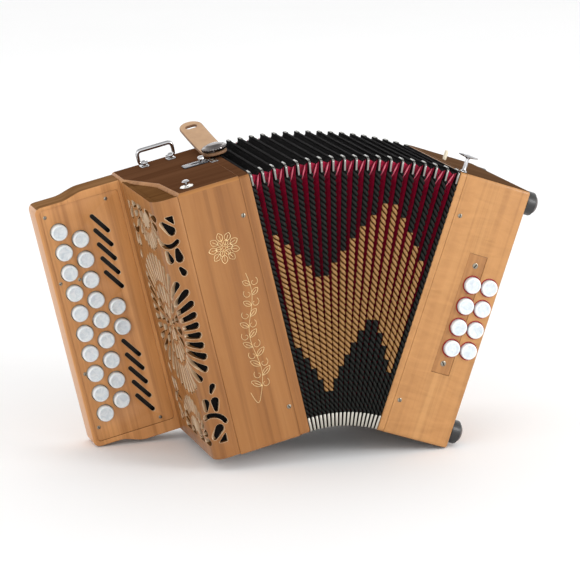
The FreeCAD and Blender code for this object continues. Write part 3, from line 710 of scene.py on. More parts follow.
def bellows_frame(name, low, high, half, node, rounds, paint):
    """The wooden ring that each end of the bellows is fastened to."""
    ring = pillow(Shape(), rectangle(0, CASE_DEEP, 0, CASE_HIGH), low, high, paint, "yz",
                  (EDGE_ROUND,) * 4, *rounds)
    border = 14
    window = Shape().block((low - 1, border, border),
                           (high + 1, CASE_DEEP - border, CASE_HIGH - border), paint)
    # Top and bottom faces take the darker top copy of the frame's wood: painted shade.
    piece(name, ring, half, "case_wood", node, cuts=(window,), paints=((shaded_flat_face, paint + "_top"),))


GRILLE_SIDE = GRILLE_BACK - GRILLE_ROUND
GRILLE_BEND = math.pi / 2 * GRILLE_ROUND
GRILLE_WIDE = GRILLE_SIDE + GRILLE_BEND + TREBLE_WIDE - GRILLE_ROUND - FRONT_SEAM
GRILLE_HIGH = CASE_HIGH - 2 * GRILLE_DROP
GRILLE_WALL = 4.0
LINING_EDGE = 3.0


def round_the_corner(u, v, depth):
    """Bends the flat grille sheet round the front left corner of the casing."""
    if u < GRILLE_SIDE:
        x, y = -TREBLE_WIDE + depth, GRILLE_BACK - u
    elif u < GRILLE_SIDE + GRILLE_BEND:
        a = (u - GRILLE_SIDE) / GRILLE_ROUND
        x = -TREBLE_WIDE + GRILLE_ROUND - (GRILLE_ROUND - depth) * math.cos(a)
        y = GRILLE_ROUND - (GRILLE_ROUND - depth) * math.sin(a)
    else:
        x, y = -TREBLE_WIDE + GRILLE_ROUND + u - GRILLE_SIDE - GRILLE_BEND, depth
    return x, y, GRILLE_DROP + v


def grille_holes():
    """A sun in the middle with a fan above and below it, mirrored both ways."""
    middle = Vector((GRILLE_WIDE / 2, GRILLE_HIGH / 2))

    def spoke(root, angle, near, far, narrow, wide):
        ahead = Vector((math.cos(angle), math.sin(angle)))
        return drop(root + ahead * (near + narrow), root + ahead * (far - wide), narrow, wide)

    holes = [ring_hole(middle, 2.8, 20)]
    holes += [spoke(middle, 2 * math.pi * (k + 0.5) / 9, 6, 18, 1.1, 3.3) for k in range(9)]
    holes += [spoke(middle, angle, 20.5, 37.5, 1.6, 3.9) for angle in turns(18)]
    for k in range(36):
        angle = 2 * math.pi * (k + 0.5) / 36
        reach = min(57 / max(abs(math.cos(angle)), 0.1), 67)
        holes.append(spoke(middle, angle, 40, reach, 2.0, 3.2))
    for up in (1, -1):
        root = middle + Vector((0, up * 112))
        for count, near, far, narrow, wide in ((8, 6, 21.5, 1.1, 3.1), (13, 24.5, 41, 1.8, 3.6)):
            for k in range(count):
                holes.append(spoke(root, -up * math.pi * (k + 0.5) / count, near, far, narrow, wide))
        for side in (1, -1):
            def spot(x, y):
                return middle + Vector((side * x, up * y))
            holes.append(rounded([spot(48, 108), spot(57, 108), spot(57, 99)], 0.8))
            for start, end, narrow, wide in (((45.5, 102), (52.5, 94.5), 2.6, 4.3),
                                             ((43.5, 75.5), (45, 68.5), 2.0, 3.8),
                                             ((53.5, 76.5), (54, 68.5), 2.0, 4.0),
                                             ((52.5, 59.5), (55, 54.5), 1.6, 3.0)):
                holes.append(drop(spot(*start), spot(*end), narrow, wide))
            ends = [up * angle for angle in ((-160, -50) if side * up > 0 else (-20, -130))]
            holes.append(crescent(spot(47.5, 93.5), 12.5, min(ends), max(ends), 4.6))
    return holes


def grille():
    edge = 0.2
    outline = rounded(rectangle(edge, GRILLE_WIDE - edge, 0, GRILLE_HIGH), 0.8, 2)
    # The hole walls take the pale cut-edge wood, which is partly a painted highlight.
    data = pierced("grille_sheet", outline, grille_holes(), GRILLE_WALL, 0.35, "case", "cut_edge_glint")
    bends = [GRILLE_SIDE + GRILLE_BEND * k / 12 for k in range(13)]
    sliced(data, bends)
    reshape(data, lambda u, v, w: round_the_corner(u, v, GRILLE_WALL / 2 - w))
    rim = [round_the_corner(u, 0, GRILLE_WALL - 0.2)[:2] for u in [2] + bends + [GRILLE_WIDE - 1]]
    boards = rim + [(-SEAM_BEND[0] - 0.2, SEAM_BEND[1])]
    # The lid boards, and the sheet's faces that look up or down, take the darker lid wood: painted shade.
    lids = pillow(Shape(), boards, GRILLE_DROP + 0.5, WALL, "case_lid_shaded", low_round=0.4, high_round=0.2)
    pillow(lids, boards, CASE_HIGH - WALL, CASE_HIGH - GRILLE_DROP - 1.2, "case_lid_shaded",
           low_round=0.2, high_round=0.4)
    first = len(data.polygons)
    with edited(data) as work:
        work.from_mesh(lids.mesh("lids"))
    repaint(data, shaded_flat_face, "case_lid_shaded")
    for polygon in data.polygons[first:]:
        polygon.material_index = len(data.materials) - 1
    piece("grille_fretwork", data, "treble", "case_wood", "grille_cover")
    wide, high = GRILLE_WIDE - 2 * LINING_EDGE, GRILLE_HIGH - 2 * WALL
    path = [LINING_EDGE] + bends + [LINING_EDGE + wide]
    loops = [[round_the_corner(u, v, GRILLE_WALL + 0.4) for u in path]
             + [round_the_corner(u, v, GRILLE_WALL + 0.9) for u in reversed(path)]
             for v in (WALL, WALL + high)]
    thing = piece("grille_lining", Shape().loft(loops, "lining"), "treble", "bellows_cloth")


# ---- keyboard ---------------------------------------------------------------


def wavy_step(start, end):
    """A smooth S-curve between two points of the keyboard's outline."""
    ways = [k / 10 for k in range(11)]
    return [(start[0] + (end[0] - start[0]) * t,
             start[1] + (end[1] - start[1]) * t * t * (3 - 2 * t)) for t in ways]


def keyboard_body():
    low, high = KEY_LOW + KEY_STEP_LOW, KEY_HIGH - KEY_STEP_HIGH
    near, far = -KEY_STEP_NEAR + 6, -KEY_STEP_FAR - 2
    lower, upper = wavy_step((near, KEY_LOW), (far, low)), wavy_step((far, high), (near, KEY_HIGH))
    outline = [(-TREBLE_WIDE, KEY_LOW), *lower, (-KEY_LEFT, low), (-KEY_LEFT, high), *upper,
               (-TREBLE_WIDE, KEY_HIGH)]
    radii = [KEY_ROUND if x == -KEY_LEFT else 0 for x, _ in outline]
    # The keyboard box is in the brightened keyboard wood (painted light). Its top and bottom faces are in
    # a darker wood as painted shade.
    box = pillow(Shape(), outline, KEY_FRONT, CASE_DEEP, "keys", "xz", radii, 1.4, 5.0, steps=6,
                 still=held_at(-TREBLE_WIDE))
    left, right, bottom, top = PLATE
    hollow = Shape().prism(filleted(rectangle(left, right, bottom, top), (3,) * 4),
                           KEY_FRONT - 1, CASE_DEEP - 5, "inner", "xz")
    window = Shape().block((right - 1, KEY_FRONT + WALL, bottom + 3),
                           (-TREBLE_WIDE + 1, CASE_DEEP - WALL, top - 3), "inner")
    piece("keyboard_box", box, "treble", "case_wood", "keyboard_body", cuts=(hollow, window),
          paints=((shaded_flat_face, "keys_top"),))


def treble_button_places():
    return [(FIRST_BUTTON[0] + row * ROW_STEP, FIRST_BUTTON[1] - row * ROW_DROP - index * BUTTON_PITCH)
            for count, row, first in TREBLE_ROWS for index in range(first, first + count)]


def keyboard_plate():
    left, right, bottom, top = PLATE
    gap, thick = 0.15, 2.5
    outline = rounded(rectangle(left + gap, right - gap, bottom + gap, top - gap), 3)
    holes = [ring_hole(place, BUTTON_HOLE) for place in treble_button_places()]
    for first in (213.9, 91.1):
        holes += [slot((-118.5, first - 13.7 * k), 25, 4, 33.7) for k in range(5)]
    # The plate is in the brightened keyboard wood (painted light). The hole walls are in the paler
    # cut-edge wood, which is partly a painted highlight.
    data = pierced("keyboard_top", outline, holes, thick, 0.3, "keys", "cut_edge_glint")
    reshape(data, lambda u, v, w: (u, KEY_FRONT + PLATE_SUNK + thick / 2 - w, v))
    piece("keyboard_top", data, "treble", "case_wood", "keyboard_plate")


def button(name, place, front, shank, half, node):
    """A pearl button: a shank, a rounded rim and a dished crown in a darker pearl than the rim, as
    painted shade.
    """
    r, up = BUTTON_RADIUS, BUTTON_PROUD
    under = up - BUTTON_LONG
    profile = ((0.1, under - shank), (2.3, under - shank), (2.5, under - shank + 0.3), (2.5, under),
               (r - 0.4, under), (r, under + 0.4), (r, up - 1.5), (r - 0.15, up - 0.85),
               (r - 0.55, up - 0.35), (r - 1.1, up - 0.08), (r - 1.6, up), (r - 2.2, up - 0.12),
               (r * 0.45, up - 0.35), (0.1, up - 0.42))

    # The dish inside the rim takes the darker pearl: painted shade.
    def shaded_dish(normal, centre):
        away = math.hypot(centre.x - place[0], centre.z - place[1])
        return normal.y < -0.5 and away < r - 1.6
    shape = Shape().lathe((place[0], front, place[1]), FORWARD, profile, "pearl", 48)
    piece(name, shape, half, "pearl", node, body=node, paints=((shaded_dish, "pearl_dish_shaded"),))


def screw(shape, centre, along, radius, proud, paint, slot_angle):
    """A countersunk head with a thin black bar across it: painted shade in place of a sawn slot."""
    shape.lathe(centre, along, ((0.1, -0.4), (radius, -0.4), (radius, proud * 0.55),
                                (radius * 0.82, proud * 0.9), (radius * 0.4, proud), (0.1, proud)),
                paint, 24)
    out = Vector(along)
    across = Matrix.Rotation(math.radians(slot_angle), 3, out) @ out.orthogonal().normalized()
    side = out.cross(across)
    # A thin black bar across the head stands for the sawn slot: painted shade.
    loops = []
    for reach in (-0.86, 0.86):
        middle = Vector(centre) + across * radius * reach + out * proud
        loops.append([middle + side * 0.16 * radius * a + out * b * 0.06
                      for a, b in ((-1, -4), (1, -4), (1, 1), (-1, 1))])
    shape.loft(loops, "lining")


def treble_screws():
    shape = Shape()
    for number, (x, z) in enumerate(((-108, 235), (-167, 233.7), (-167, 26.4), (-108, 18),
                                     (-168, 169.6), (-149.8, 168.4), (-167, 80))):
        screw(shape, (x, KEY_FRONT + PLATE_SUNK, z), FORWARD, 1.7, 0.7, "steel", 37 * number)
    for number, z in enumerate((214.6, 30.7)):
        screw(shape, (-TREBLE_FRAME - 4, 0, z), FORWARD, 2.0, 0.7, "steel", 25 + 50 * number)
    piece("treble_screw_heads", shape, "treble", "screw_steel", "treble_screws")


# ---- ornament on the front face ---------------------------------------------


def ornament():
    """Fine gold lines let into the front: a blossom above a climbing vine. No lettering."""
    shape = Shape()

    def stroke(points):
        shape.tube([(x, -0.05, z) for x, z in points], 0.24, "gold_line", sides=6)

    def leaf(root, angle, length, width):
        ahead = Vector((math.cos(angle), math.sin(angle)))
        aside = Vector((-ahead.y, ahead.x)) * width / 2
        for side in (1, -1):
            stroke([root + ahead * length * t + aside * side * math.sin(math.pi * t) ** 0.8
                    for t in (k / 10 for k in range(11))])
        stroke([root + ahead * length * t for t in (0.05, 0.35, 0.7)])

    centre = Vector((-38.0, 191.0))
    for ring, (count, near, far, width) in enumerate(((6, 2.5, 8.0, 4.2), (9, 6.5, 14.5, 5.6))):
        for k in range(count):
            a = 2 * math.pi * (k + 0.5 * ring) / count
            leaf(centre + Vector((math.cos(a), math.sin(a))) * near, a, far - near, width)
    stroke([centre + Vector(p) for p in circle((0, 0), 1.6, 16) + [(1.6, 0)]])
    stem = [Vector((-36.5 + 12.0 * t + 3.6 * math.sin(9.4 * t), 50 + 113 * t))
            for t in (k / 96 for k in range(97))]
    stroke([stem[0] + Vector((-9 + 9 * t, 4 - 9 * math.sin(math.pi * t) - 4 * t))
            for t in (k / 12 for k in range(13))])
    stroke(stem)
    for k in range(11):
        root = stem[6 + 8 * k]
        side = 1 if k % 2 else -1
        leaf(root, math.radians(90 - side * 52), 11.5 - 0.35 * k, 4.6)
        middle = root + Vector((-side * 3.6, 2.0))
        angles = [math.radians(90 + side * (40 + 22 * j)) for j in range(15)]
        stroke([middle + Vector((math.cos(a), math.sin(a))) * 4.4 * (1 - j / 19)
                for j, a in enumerate(angles)])
    piece("front_ornament", shape, "treble", "screw_steel")


# ---- fittings on top of the treble casing ----------------------------------


def register_fittings():
    gap = slot((-23.5, 88.5), 13, 4, 90)
    data = pierced("register_cover", rounded(rectangle(-38, -14, 82, 95), 2.5), [gap], 1.2, 0.25,
                   "black_nickel")
    reshape(data, lambda u, v, w: (u, v, CASE_HIGH + 0.6 + w))
    piece("register_cover", data, "treble", "dark_metal", "register_plate")
    knob = Shape().lathe((-19.5, 88.5, CASE_HIGH), UP,
                         ((0.1, 0.1), (1.6, 0.1), (1.6, 2.4), (2.9, 2.5), (3.2, 2.8), (3.2, 5.2),
                          (2.9, 5.9), (2.0, 6.5), (0.1, 6.8)), "chrome", 32)
    piece("register_knob", knob, "treble", "chrome", "register_slide", body="register_slide")


def wire_corner(path, radius, steps=6):
    """Rounds the corners of a path of points in space."""
    path = [Vector(p) for p in path]
    out = path[:1]
    for before, p, after in zip(path, path[1:], path[2:]):
        a, b = (before - p).normalized(), (after - p).normalized()
        cut = min(radius / math.tan(a.angle(b) / 2), 0.45 * min((before - p).length, (after - p).length))
        first, last = p + a * cut, p + b * cut
        out += [first * (1 - t) ** 2 + p * 2 * t * (1 - t) + last * t ** 2
                for t in (k / steps for k in range(steps + 1))]
    return out + path[-1:]


def bail():
    left, right, deep, pivot, top = -66.0, -32.0, 139.0, CASE_HIGH + 3, CASE_HIGH + 15.5
    path = wire_corner([(left + 8, deep, pivot), (left, deep, pivot), (left, deep, top),
                        (right, deep, top), (right, deep, pivot), (right - 8, deep, pivot)], 4.5, 8)

    def thickness(t):
        z = path[round(t * (len(path) - 1))].z
        return 1.62 + 0.6 * max(0, (z - pivot) / (top - pivot)) ** 3
    shape = Shape().tube(path, thickness, "chrome", sides=16)
    piece("carrying_bail", shape, "treble", "chrome", "strap_bail", body="strap_bail")
    brackets = Shape()
    for middle in (left + 4, right - 4):
        base = rectangle(middle - 4, middle + 4, deep - 6, deep + 6)
        pillow(brackets, base, CASE_HIGH, CASE_HIGH + 1, "chrome", "xy", (1.8,) * 4, 0, 0.4)
        ear = [(deep - 3, CASE_HIGH + 0.6), (deep + 3, CASE_HIGH + 0.6)]
        ear += arc((deep, pivot), 3, 0, 180, 12)
        pillow(brackets, ear, middle - 1.5, middle + 1.5, "chrome", "yz", None, 0.4, 0.4)
        for side in (-1, 1):
            screw(brackets, (middle, deep + side * 4.4, CASE_HIGH + 1), UP, 1.1, 0.35, "steel",
                  30 + 70 * side)
    piece("bail_brackets", brackets, "treble", "chrome", "bail_bracket")


def snap():
    """The ribbed dome that holds the strap, and the keeper beside it."""
    x, y = SNAP
    # The dome and its ribs take the dark chrome: a painted dark reflection.
    shape = Shape().lathe((x, y, CASE_HIGH), UP,
                          ((0.1, 0), (6, 0), (6, 1.1), (5.6, 1.5), (3, 1.6), (3, 5.9), (9.8, 6.0),
                           (11.2, 6.3), (11.5, 6.9), (11.5, 8.9), (11.2, 9.5), (10.4, 10.0),
                           (9.6, 10.0), (9.2, 9.7), (8.7, 9.8), (8.2, 10.5), (7.0, 11.5),
                           (4.8, 12.1), (2.4, 12.4), (0.1, 12.5)), "chrome_dark_reflection", 56)
    for rib in circle(SNAP, 11.35, 28):
        shape.prism(circle(rib, 0.55, 8), CASE_HIGH + 6.9, CASE_HIGH + 8.9, "chrome_dark_reflection")
    keeper = rectangle(-13.5, -6.5, 76, 90)
    pillow(shape, keeper, CASE_HIGH, CASE_HIGH + 1, "chrome", "xy", (1.2,) * 4, 0, 0.35)
    for spot in (79, 87):
        screw(shape, (-10, spot, CASE_HIGH + 1), UP, 1.4, 0.4, "steel", spot)
    piece("strap_snap_dome", shape, "treble", "chrome", "strap_snap")


def closing_strap():
    """Thick leather: flat under the snap's rim, then curving up to its slotted end."""
    wide, straight, thick = 22.0, 68.0, 2.6
    flat, rise = 10.0, 12.0
    holes = [ring_hole((0, 0), 3.6, 32), slot((0, straight), 11, 6, 90)]
    outline = drop((0, 0), (0, straight), wide / 2, wide / 2, 20)
    data = pierced("closing_strap", outline, holes, thick, 0.5, "tan", "tan_edge", True)
    sliced(data, range(4, 80, 4), (0, 1, 0))

    def curved(u, v, w):
        t = max(0.0, v - flat) / (straight - flat)
        lean = math.radians(14) * min(1.0, t * 2.2)
        return u, v - w * math.sin(lean), w * math.cos(lean) + rise * t ** 1.25
    centre = Vector((*SNAP, CASE_HIGH + 2.7 + thick / 2)) * MM
    place = TREBLE @ Matrix.Translation(centre) @ Matrix.Rotation(math.radians(1), 4, "Z")
    piece("closing_strap", reshape(data, curved), "treble", "tan_leather", "bellows_strap",
          body="bellows_strap", place=place)


def rosette():
    x, y = ROSETTE
    loops = []
    for radius, height in ((5.6, 0), (6, 0.3), (5.6, 0.9), (3.6, 1.2), (2.2, 1.3)):
        wave = 0.05 if radius > 3 else 0
        loops.append([(x + radius * (1 + wave * math.cos(8 * a)) * math.cos(a),
                       y + radius * (1 + wave * math.cos(8 * a)) * math.sin(a), CASE_HIGH + height)
                      for a in turns(64)])
    shape = Shape().loft(loops, "nickel")
    shape.lathe((x, y, CASE_HIGH), UP, ((0.1, 1.1), (1.8, 1.1), (1.8, 4.3), (3.2, 4.5), (3.4, 5.0),
                                        (2.9, 5.9), (1.8, 6.4), (0.1, 6.5)), "chrome", 32)
    piece("rosette_and_stud", shape, "treble", "chrome", "rosette_stud")


# ---- bass half --------------------------------------------------------------


def bass_button_places():
    return [(BASS_FIRST[0] + column * BASS_STEP, BASS_FIRST[1] + column * BASS_RISE - row * BASS_PITCH)
            for column in range(2) for row in range(4)]


def bores(places, depth):
    return [Shape().prism(circle(place, BUTTON_HOLE, 32), -2, depth, "cut_edge_glint", "xz")
            for place in places]


def bass_casing():
    shell = pillow(Shape(), rectangle(0, CASE_DEEP, 0, CASE_HIGH), BASS_FRAME, BASS_WIDE, "bass", "yz",
                   (3.2,) * 4, 0.3, 2.6, steps=5)
    inside = Shape().block((BASS_FRAME - 1, WALL, WALL),
                           (BASS_WIDE - WALL, CASE_DEEP - WALL, CASE_HIGH - WALL), "inner")
    left, right, low, high = BASS_PLATE
    pocket = Shape().block((left, -1, low), (right, 3, high), "cut_edge_glint")
    air = Shape().prism(circle(AIR_BUTTON, AIR_HOLE, 32), BASS_WIDE - WALL - 1, BASS_WIDE + 1,
                        "cut_edge_glint", "yz")
    # Top and bottom faces take the darker top wood: painted shade.
    piece("bass_casing_shell", shell, "bass", "case_wood", "bass_casing",
          cuts=(inside, pocket, *bores(bass_button_places(), BASS_BORE), air),
          paints=((shaded_flat_face, "bass_top"),))


def bass_plate():
    left, right, low, high = BASS_PLATE
    gap = 0.15
    plate = pillow(Shape(), rectangle(left + gap, right - gap, low + gap, high - gap), 0.35, 3,
                   "bass_plate", "xz", (0.8,) * 4, 0.3, 0.0, steps=3)
    piece("bass_inlay_plate", plate, "bass", "case_wood", "bass_button_plate",
          cuts=bores(bass_button_places()[:4], 5))
    felt = Shape()
    for x, z in bass_button_places():
        felt.lathe((x, 0, z), FORWARD, ((7.85, -1.5), (7.85, 0.1), (8.15, 0.45), (8.7, 0.35), (8.9, 0.05),
                                        (8.9, -0.02), (8.15, -0.3), (8.15, -1.5)), "felt")
    piece("bass_felt_rings", felt, "bass", "bellows_cloth")


def bass_screws():
    shape = Shape()
    for number, z in enumerate((170.5, 75.9)):
        screw(shape, (41.6, 0.35, z), FORWARD, 2.6, 0.6, "steel", 20 + 65 * number)
    for number, z in enumerate((210.9, 32.9)):
        screw(shape, (BASS_FRAME + 5.3, 0, z), FORWARD, 2.0, 0.7, "steel", 40 + 30 * number)
    piece("bass_screw_heads", shape, "bass", "screw_steel", "bass_screws")


def bass_feet():
    shape = Shape()
    for centre in ((BASS_WIDE, y, z) for y in (12.5, 142.5) for z in (15.5, 238.5)):
        shape.lathe(centre, RIGHT, ((0.1, 0), (10.6, 0), (11, 0.4), (11, 8.0), (10.7, 8.8),
                                    (10.0, 9.2), (9.2, 9.0), (0.1, 8.8)), "rubber", 48)
        # The domes take the dark chrome: a painted dark reflection.
        shape.lathe(centre, RIGHT, ((0.1, 8.6), (9.1, 8.6), (9.1, 9.4), (8.9, 10.2), (8.2, 11.3),
                                    (7.0, 12.1), (5.0, 12.7), (2.6, 12.95), (0.1, 13.0)),
                    "chrome_dark_reflection", 48)
    piece("bass_feet_domes", shape, "bass", "foot_rubber", "bass_feet")


def hand_strap():
    """A padded leather band over the end face: anchored at both ends, bowed out between."""
    low, high, near, far, gap, thick = 34.0, 216.0, 55.0, 100.0, 9.3, 2.6
    soft = 0.9
    shape = Shape()
    loops = []

    def bowed(t):
        rise = min(1, math.sin(math.pi * t) * 2.6)
        return rise, BASS_WIDE + 0.1 + gap * rise * rise * (3 - 2 * rise)

    for k in range(45):
        t = k / 44
        z = low + (high - low) * t
        rise, x0 = bowed(t)
        x1 = x0 + thick
        pad = 0.35 * rise
        y0, y1 = near + 1.5 * (1 - rise), far - 1.5 * (1 - rise)
        loops.append([(x0, y0 + soft, z), (x0, y1 - soft, z), (x0 + 0.5, y1, z), (x1 - 0.7, y1, z),
                      (x1 - 0.1, y1 - soft, z), (x1 - 0.35, y1 - 3.2, z),
                      (x1 + pad * 0.4, y1 - 6, z), (x1 + pad * 0.5, (y0 + y1) / 2, z),
                      (x1 + pad * 0.4, y0 + 6, z), (x1 - 0.35, y0 + 3.2, z),
                      (x1 - 0.1, y0 + soft, z), (x1 - 0.7, y0, z), (x0 + 0.5, y0, z)])
    shape.loft(loops, "strap_black")
    for y in (near + 3.4, far - 3.4):
        for k in range(56):
            z = low + 8 + 2.97 * k
            x1 = bowed((z - low) / (high - low))[1] + thick - 0.25
            shape.tube([(x1 - 0.3, y, z), (x1 + 0.12, y, z + 0.5), (x1 + 0.12, y, z + 1.6),
                        (x1 - 0.3, y, z + 2.1)], 0.26, "tan", sides=5)
    for z in (low, high - 8):
        for y in (66, 89):
            screw(shape, (BASS_WIDE + thick + 0.1, y, z + 4), RIGHT, 3.2, 0.8, "nickel", 30 + y + z)
    piece("hand_strap_leather", shape, "bass", "black_leather", "hand_strap")


def air_button():
    shape = Shape().lathe((BASS_WIDE, *AIR_BUTTON), RIGHT,
                          ((0.1, -9), (7.6, -9), (8, -8.6), (8, 3.4), (7.8, 4.2), (7.2, 4.8),
                           (6.4, 5.0), (5.4, 4.8), (2.5, 4.55), (0.1, 4.5)), "pearl", 48)
    piece("air_button_cap", shape, "bass", "pearl", "air_button", body="air_button")


def bass_studs():
    shape = Shape().lathe((*STUD, CASE_HIGH), UP,
                          ((0.1, 0), (3.4, 0), (3.4, 0.6), (2.2, 1.2), (1.6, 2.2), (1.6, 12.2),
                           (2.4, 13.2), (6.8, 13.9), (8.9, 14.5), (9.2, 15.1), (8.8, 15.8),
                           (7.2, 16.3), (6.2, 16.2), (5.4, 15.9), (0.1, 16.0)), "chrome", 48)
    shape.lathe((*PIN, CASE_HIGH), UP, ((0.1, 0), (1.8, 0), (1.8, 8.2), (1.5, 8.8), (0.1, 9.0)),
                "ivory", 28)
    piece("bass_top_fittings", shape, "bass", "chrome", "bass_top_studs")


# ---- bellows ----------------------------------------------------------------

CHAIN = ["treble"] + ["section_%d" % k for k in range(1, 6)] + ["bass"]
BELLOWS_LOW, BELLOWS_HIGH = 0.4, BELLOWS_TALL - 0.2
BELLOWS_BACK = BELLOWS_FRONT + BELLOWS_DEEP
LEAF_DEEP = 11.0
LEAF_WALL = 0.7
GUSSET_DEEP = 5.0
GUSSET_REACH = 8.0
# How far the black cloth reaches in from each crest: the real binding, widened to stand also for the
# shade beside the braid.
BINDING_AND_SHADE = 0.28
ROPE_SIDES = 6
ROPE_STEP = 5.2 / ROPE_SIDES
ROPE_RADIUS = 3.0
ROPE_LOW, ROPE_HIGH = 12.5, BELLOWS_TALL - 11.0


def crest_shift(crest):
    """The end crests sit a little inside the bellows, clear of the wooden frames."""
    return 1.5 * (1 - crest / (FOLDS / 2))


def crest_point(crest, x, y, z):
    """A point beside a crest, in the row frame, in millimetres."""
    return crest_frame(crest) @ Vector(((crest_shift(crest) + x) * MM, y * MM, z * MM)) / MM


def perimeter():
    """Places round a crest, with their side, from the bottom front corner upwards."""
    tall = [0, 1.5, 3, 5, 7.5, 10, 13, 17, 22, 30, 60, 95]
    heights = [BELLOWS_LOW + h for h in tall] + [BELLOWS_HIGH - h for h in reversed(tall)]
    deep = tall[1:10] + [55]
    depths = [BELLOWS_FRONT + d for d in deep] + [BELLOWS_BACK - d for d in reversed(deep)]
    return ([(BELLOWS_FRONT, z, "front") for z in heights] + [(y, BELLOWS_HIGH, "top") for y in depths]
            + [(BELLOWS_BACK, z, "back") for z in reversed(heights)]
            + [(y, BELLOWS_LOW, "bottom") for y in reversed(depths)])


def drawn_in(y, z, depth):
    """The same place on a rectangle that lies further inside the bellows."""
    middle_y, middle_z = (BELLOWS_FRONT + BELLOWS_BACK) / 2, (BELLOWS_LOW + BELLOWS_HIGH) / 2
    half_y, half_z = BELLOWS_BACK - middle_y, BELLOWS_HIGH - middle_z
    return (middle_y + (y - middle_y) * (1 - depth / half_y),
            middle_z + (z - middle_z) * (1 - depth / half_z))


def corner_distance(y, z):
    return max(min(y - BELLOWS_FRONT, BELLOWS_BACK - y), min(z - BELLOWS_LOW, BELLOWS_HIGH - z))


def leaf_mesh(crest):
    """One valley of the bellows between two crests: a thin folded wall, closed on itself."""
    shape = Shape()
    sections = []
    spots = perimeter()
    for y, z, side in spots:
        near = corner_distance(y, z)
        depth = LEAF_DEEP - (LEAF_DEEP - GUSSET_DEEP) * math.exp(-(near / GUSSET_REACH) ** 2)
        lean = 0.0
        if side in ("front", "back") and z > BELLOWS_HIGH / 2:
            lean = 0.27 * math.cos(math.pi * min(near, 26) / 14) * math.exp(-(near / 20) ** 2)
        loop = []
        for inward, order in ((0.0, 1), (LEAF_WALL, -1)):
            line = []
            for t, share in ((0, 0), (BINDING_AND_SHADE, 0.17), (0.6, 0.31), (1, 0.5), (0.6, 0.69),
                             (BINDING_AND_SHADE, 0.83), (0, 1)):
                place = drawn_in(y, z, 0.8 + inward + (depth - 0.8) * t)
                first = crest_point(crest, 0.5 * (t == 0), *place)
                last = crest_point(crest + 1, -0.5 * (t == 0), *place)
                line.append(first.lerp(last, share + lean * t * (1 - abs(1 - 2 * share))))
            loop += line[::order]
        sections.append(loop)
    sections.append(sections[0])
    shape.loft(sections, "black_cloth", capped=False)
    count = len(sections[0])
    crimson, glossy = shape.paint("crimson"), shape.paint("red_leather")
    # Front and back faces between the black binding faces turn crimson, and glossy red near the top. The
    # black beside each crest is partly painted shade.
    for row, (y, z, side) in enumerate(spots):
        next_y, next_z, next_side = spots[(row + 1) % len(spots)]
        if {side, next_side} <= {"front", "back"}:
            paint = glossy if min(z, next_z) > BELLOWS_HIGH - 20 else crimson
            shape.paints[row * count + 1:row * count + 5] = [paint] * 4
    # A lighter pink bead along each gusset's crease: a painted highlight on the fold.
    for y, inward in ((BELLOWS_FRONT, 1), (BELLOWS_BACK, -1)):
        path = []
        for t in (k / 8 for k in range(9)):
            place = (y + inward * (2.2 + 1.2 * t * t), BELLOWS_HIGH - 3.5 - 13 * t)
            first, last = crest_point(crest, 0, *place), crest_point(crest + 1, 0, *place)
            path.append(first.lerp(last, 0.70 - 0.38 * t))
        shape.tube(path, lambda t: 0.25 + 0.75 * math.sin(math.pi * min(max(t, 0.02), 0.98)),
                   "crease_highlight", sides=8)
    return shape


def gold_band(crest):
    """Where a crest's braid is gold: its lower and upper height, a zigzag over the crests."""
    if crest in (0, FOLDS):
        return 0, 0
    if crest <= 5:
        start = 0.246 + 0.046 * (crest - 1)
    elif crest <= 12:
        start = 0.43 - 0.044 * (crest - 6)
    else:
        start = 0.166 + 0.0465 * (crest - 13)
    return BELLOWS_HIGH * (1 - start - 0.43), BELLOWS_HIGH * (1 - start)


def braid_mesh(crest, side):
    """One side of the two-strand braids that run down a crest, front and back."""
    shape = Shape()
    low_gold, high_gold = gold_band(crest)
    steps = int((ROPE_HIGH - ROPE_LOW) / ROPE_STEP)
    across = ROPE_SIDES + 1
    for face, flip in ((BELLOWS_FRONT, 1), (BELLOWS_BACK, -1)):
        points, faces, paints = [], [], []
        columns = [flip * side * k for k in range(across)]
        for k in range(steps + 1):
            z = ROPE_LOW + ROPE_STEP * k
            widest = min(ROPE_RADIUS, 0.49 * (FOLD_PITCH + math.radians(FAN_ANGLE / FOLDS) * z))
            for s in columns:
                r = widest * (0.5 + 0.5 * abs(math.sin(math.pi * (s + k) / ROPE_SIDES)))
                a = math.pi * (s / ROPE_SIDES - 0.5)
                points.append(crest_point(crest, flip * r * math.cos(a),
                                          face + flip * 0.6 * r * math.sin(a), z))
        for k in range(steps):
            kind = "gold" if low_gold < ROPE_LOW + ROPE_STEP * k < high_gold else "black"
            here = k * across
            for j in range(ROPE_SIDES):
                near, far = (j, j + 1) if flip * side > 0 else (j + 1, j)
                a, b = here + near, here + far
                low = columns[near] + k
                for first, corners in ((low, (a, b, a + across)), (low + 1, (b, b + across, a + across))):
                    faces.append(corners)
                    # Faces in the hollows between the strands take the dark groove paints: painted shade.
                    shaded_groove = first % ROPE_SIDES in (ROPE_SIDES - 1, 0)
                    paints.append(kind + ("_groove" if shaded_groove else "_braid"))
            faces.append((here, here + across, here + across + ROPE_SIDES, here + ROPE_SIDES))
            paints.append("black_groove")
        faces += [range(across), range(steps * across, (steps + 1) * across)]
        paints += ["black_braid"] * 2
        start = len(shape.paints)
        shape.add(points, faces, "black_braid")
        shape.paints[start:] = [shape.paint(paint) for paint in paints]
    return shape


def crest_mesh(crest):
    """The bound cloth edge round one crest."""
    sections = []
    for y, z, _ in perimeter():
        sections.append([crest_point(crest, x, *drawn_in(y, z, depth))
                         for x, depth in ((-1.35, 1.5), (-1.45, 0.5), (-0.9, 0.0), (0.9, 0.0),
                                          (1.45, 0.5), (1.35, 1.5), (0.5, 2.2), (-0.5, 2.2))])
    return Shape().loft(sections + sections[:1], "black_cloth", capped=False)


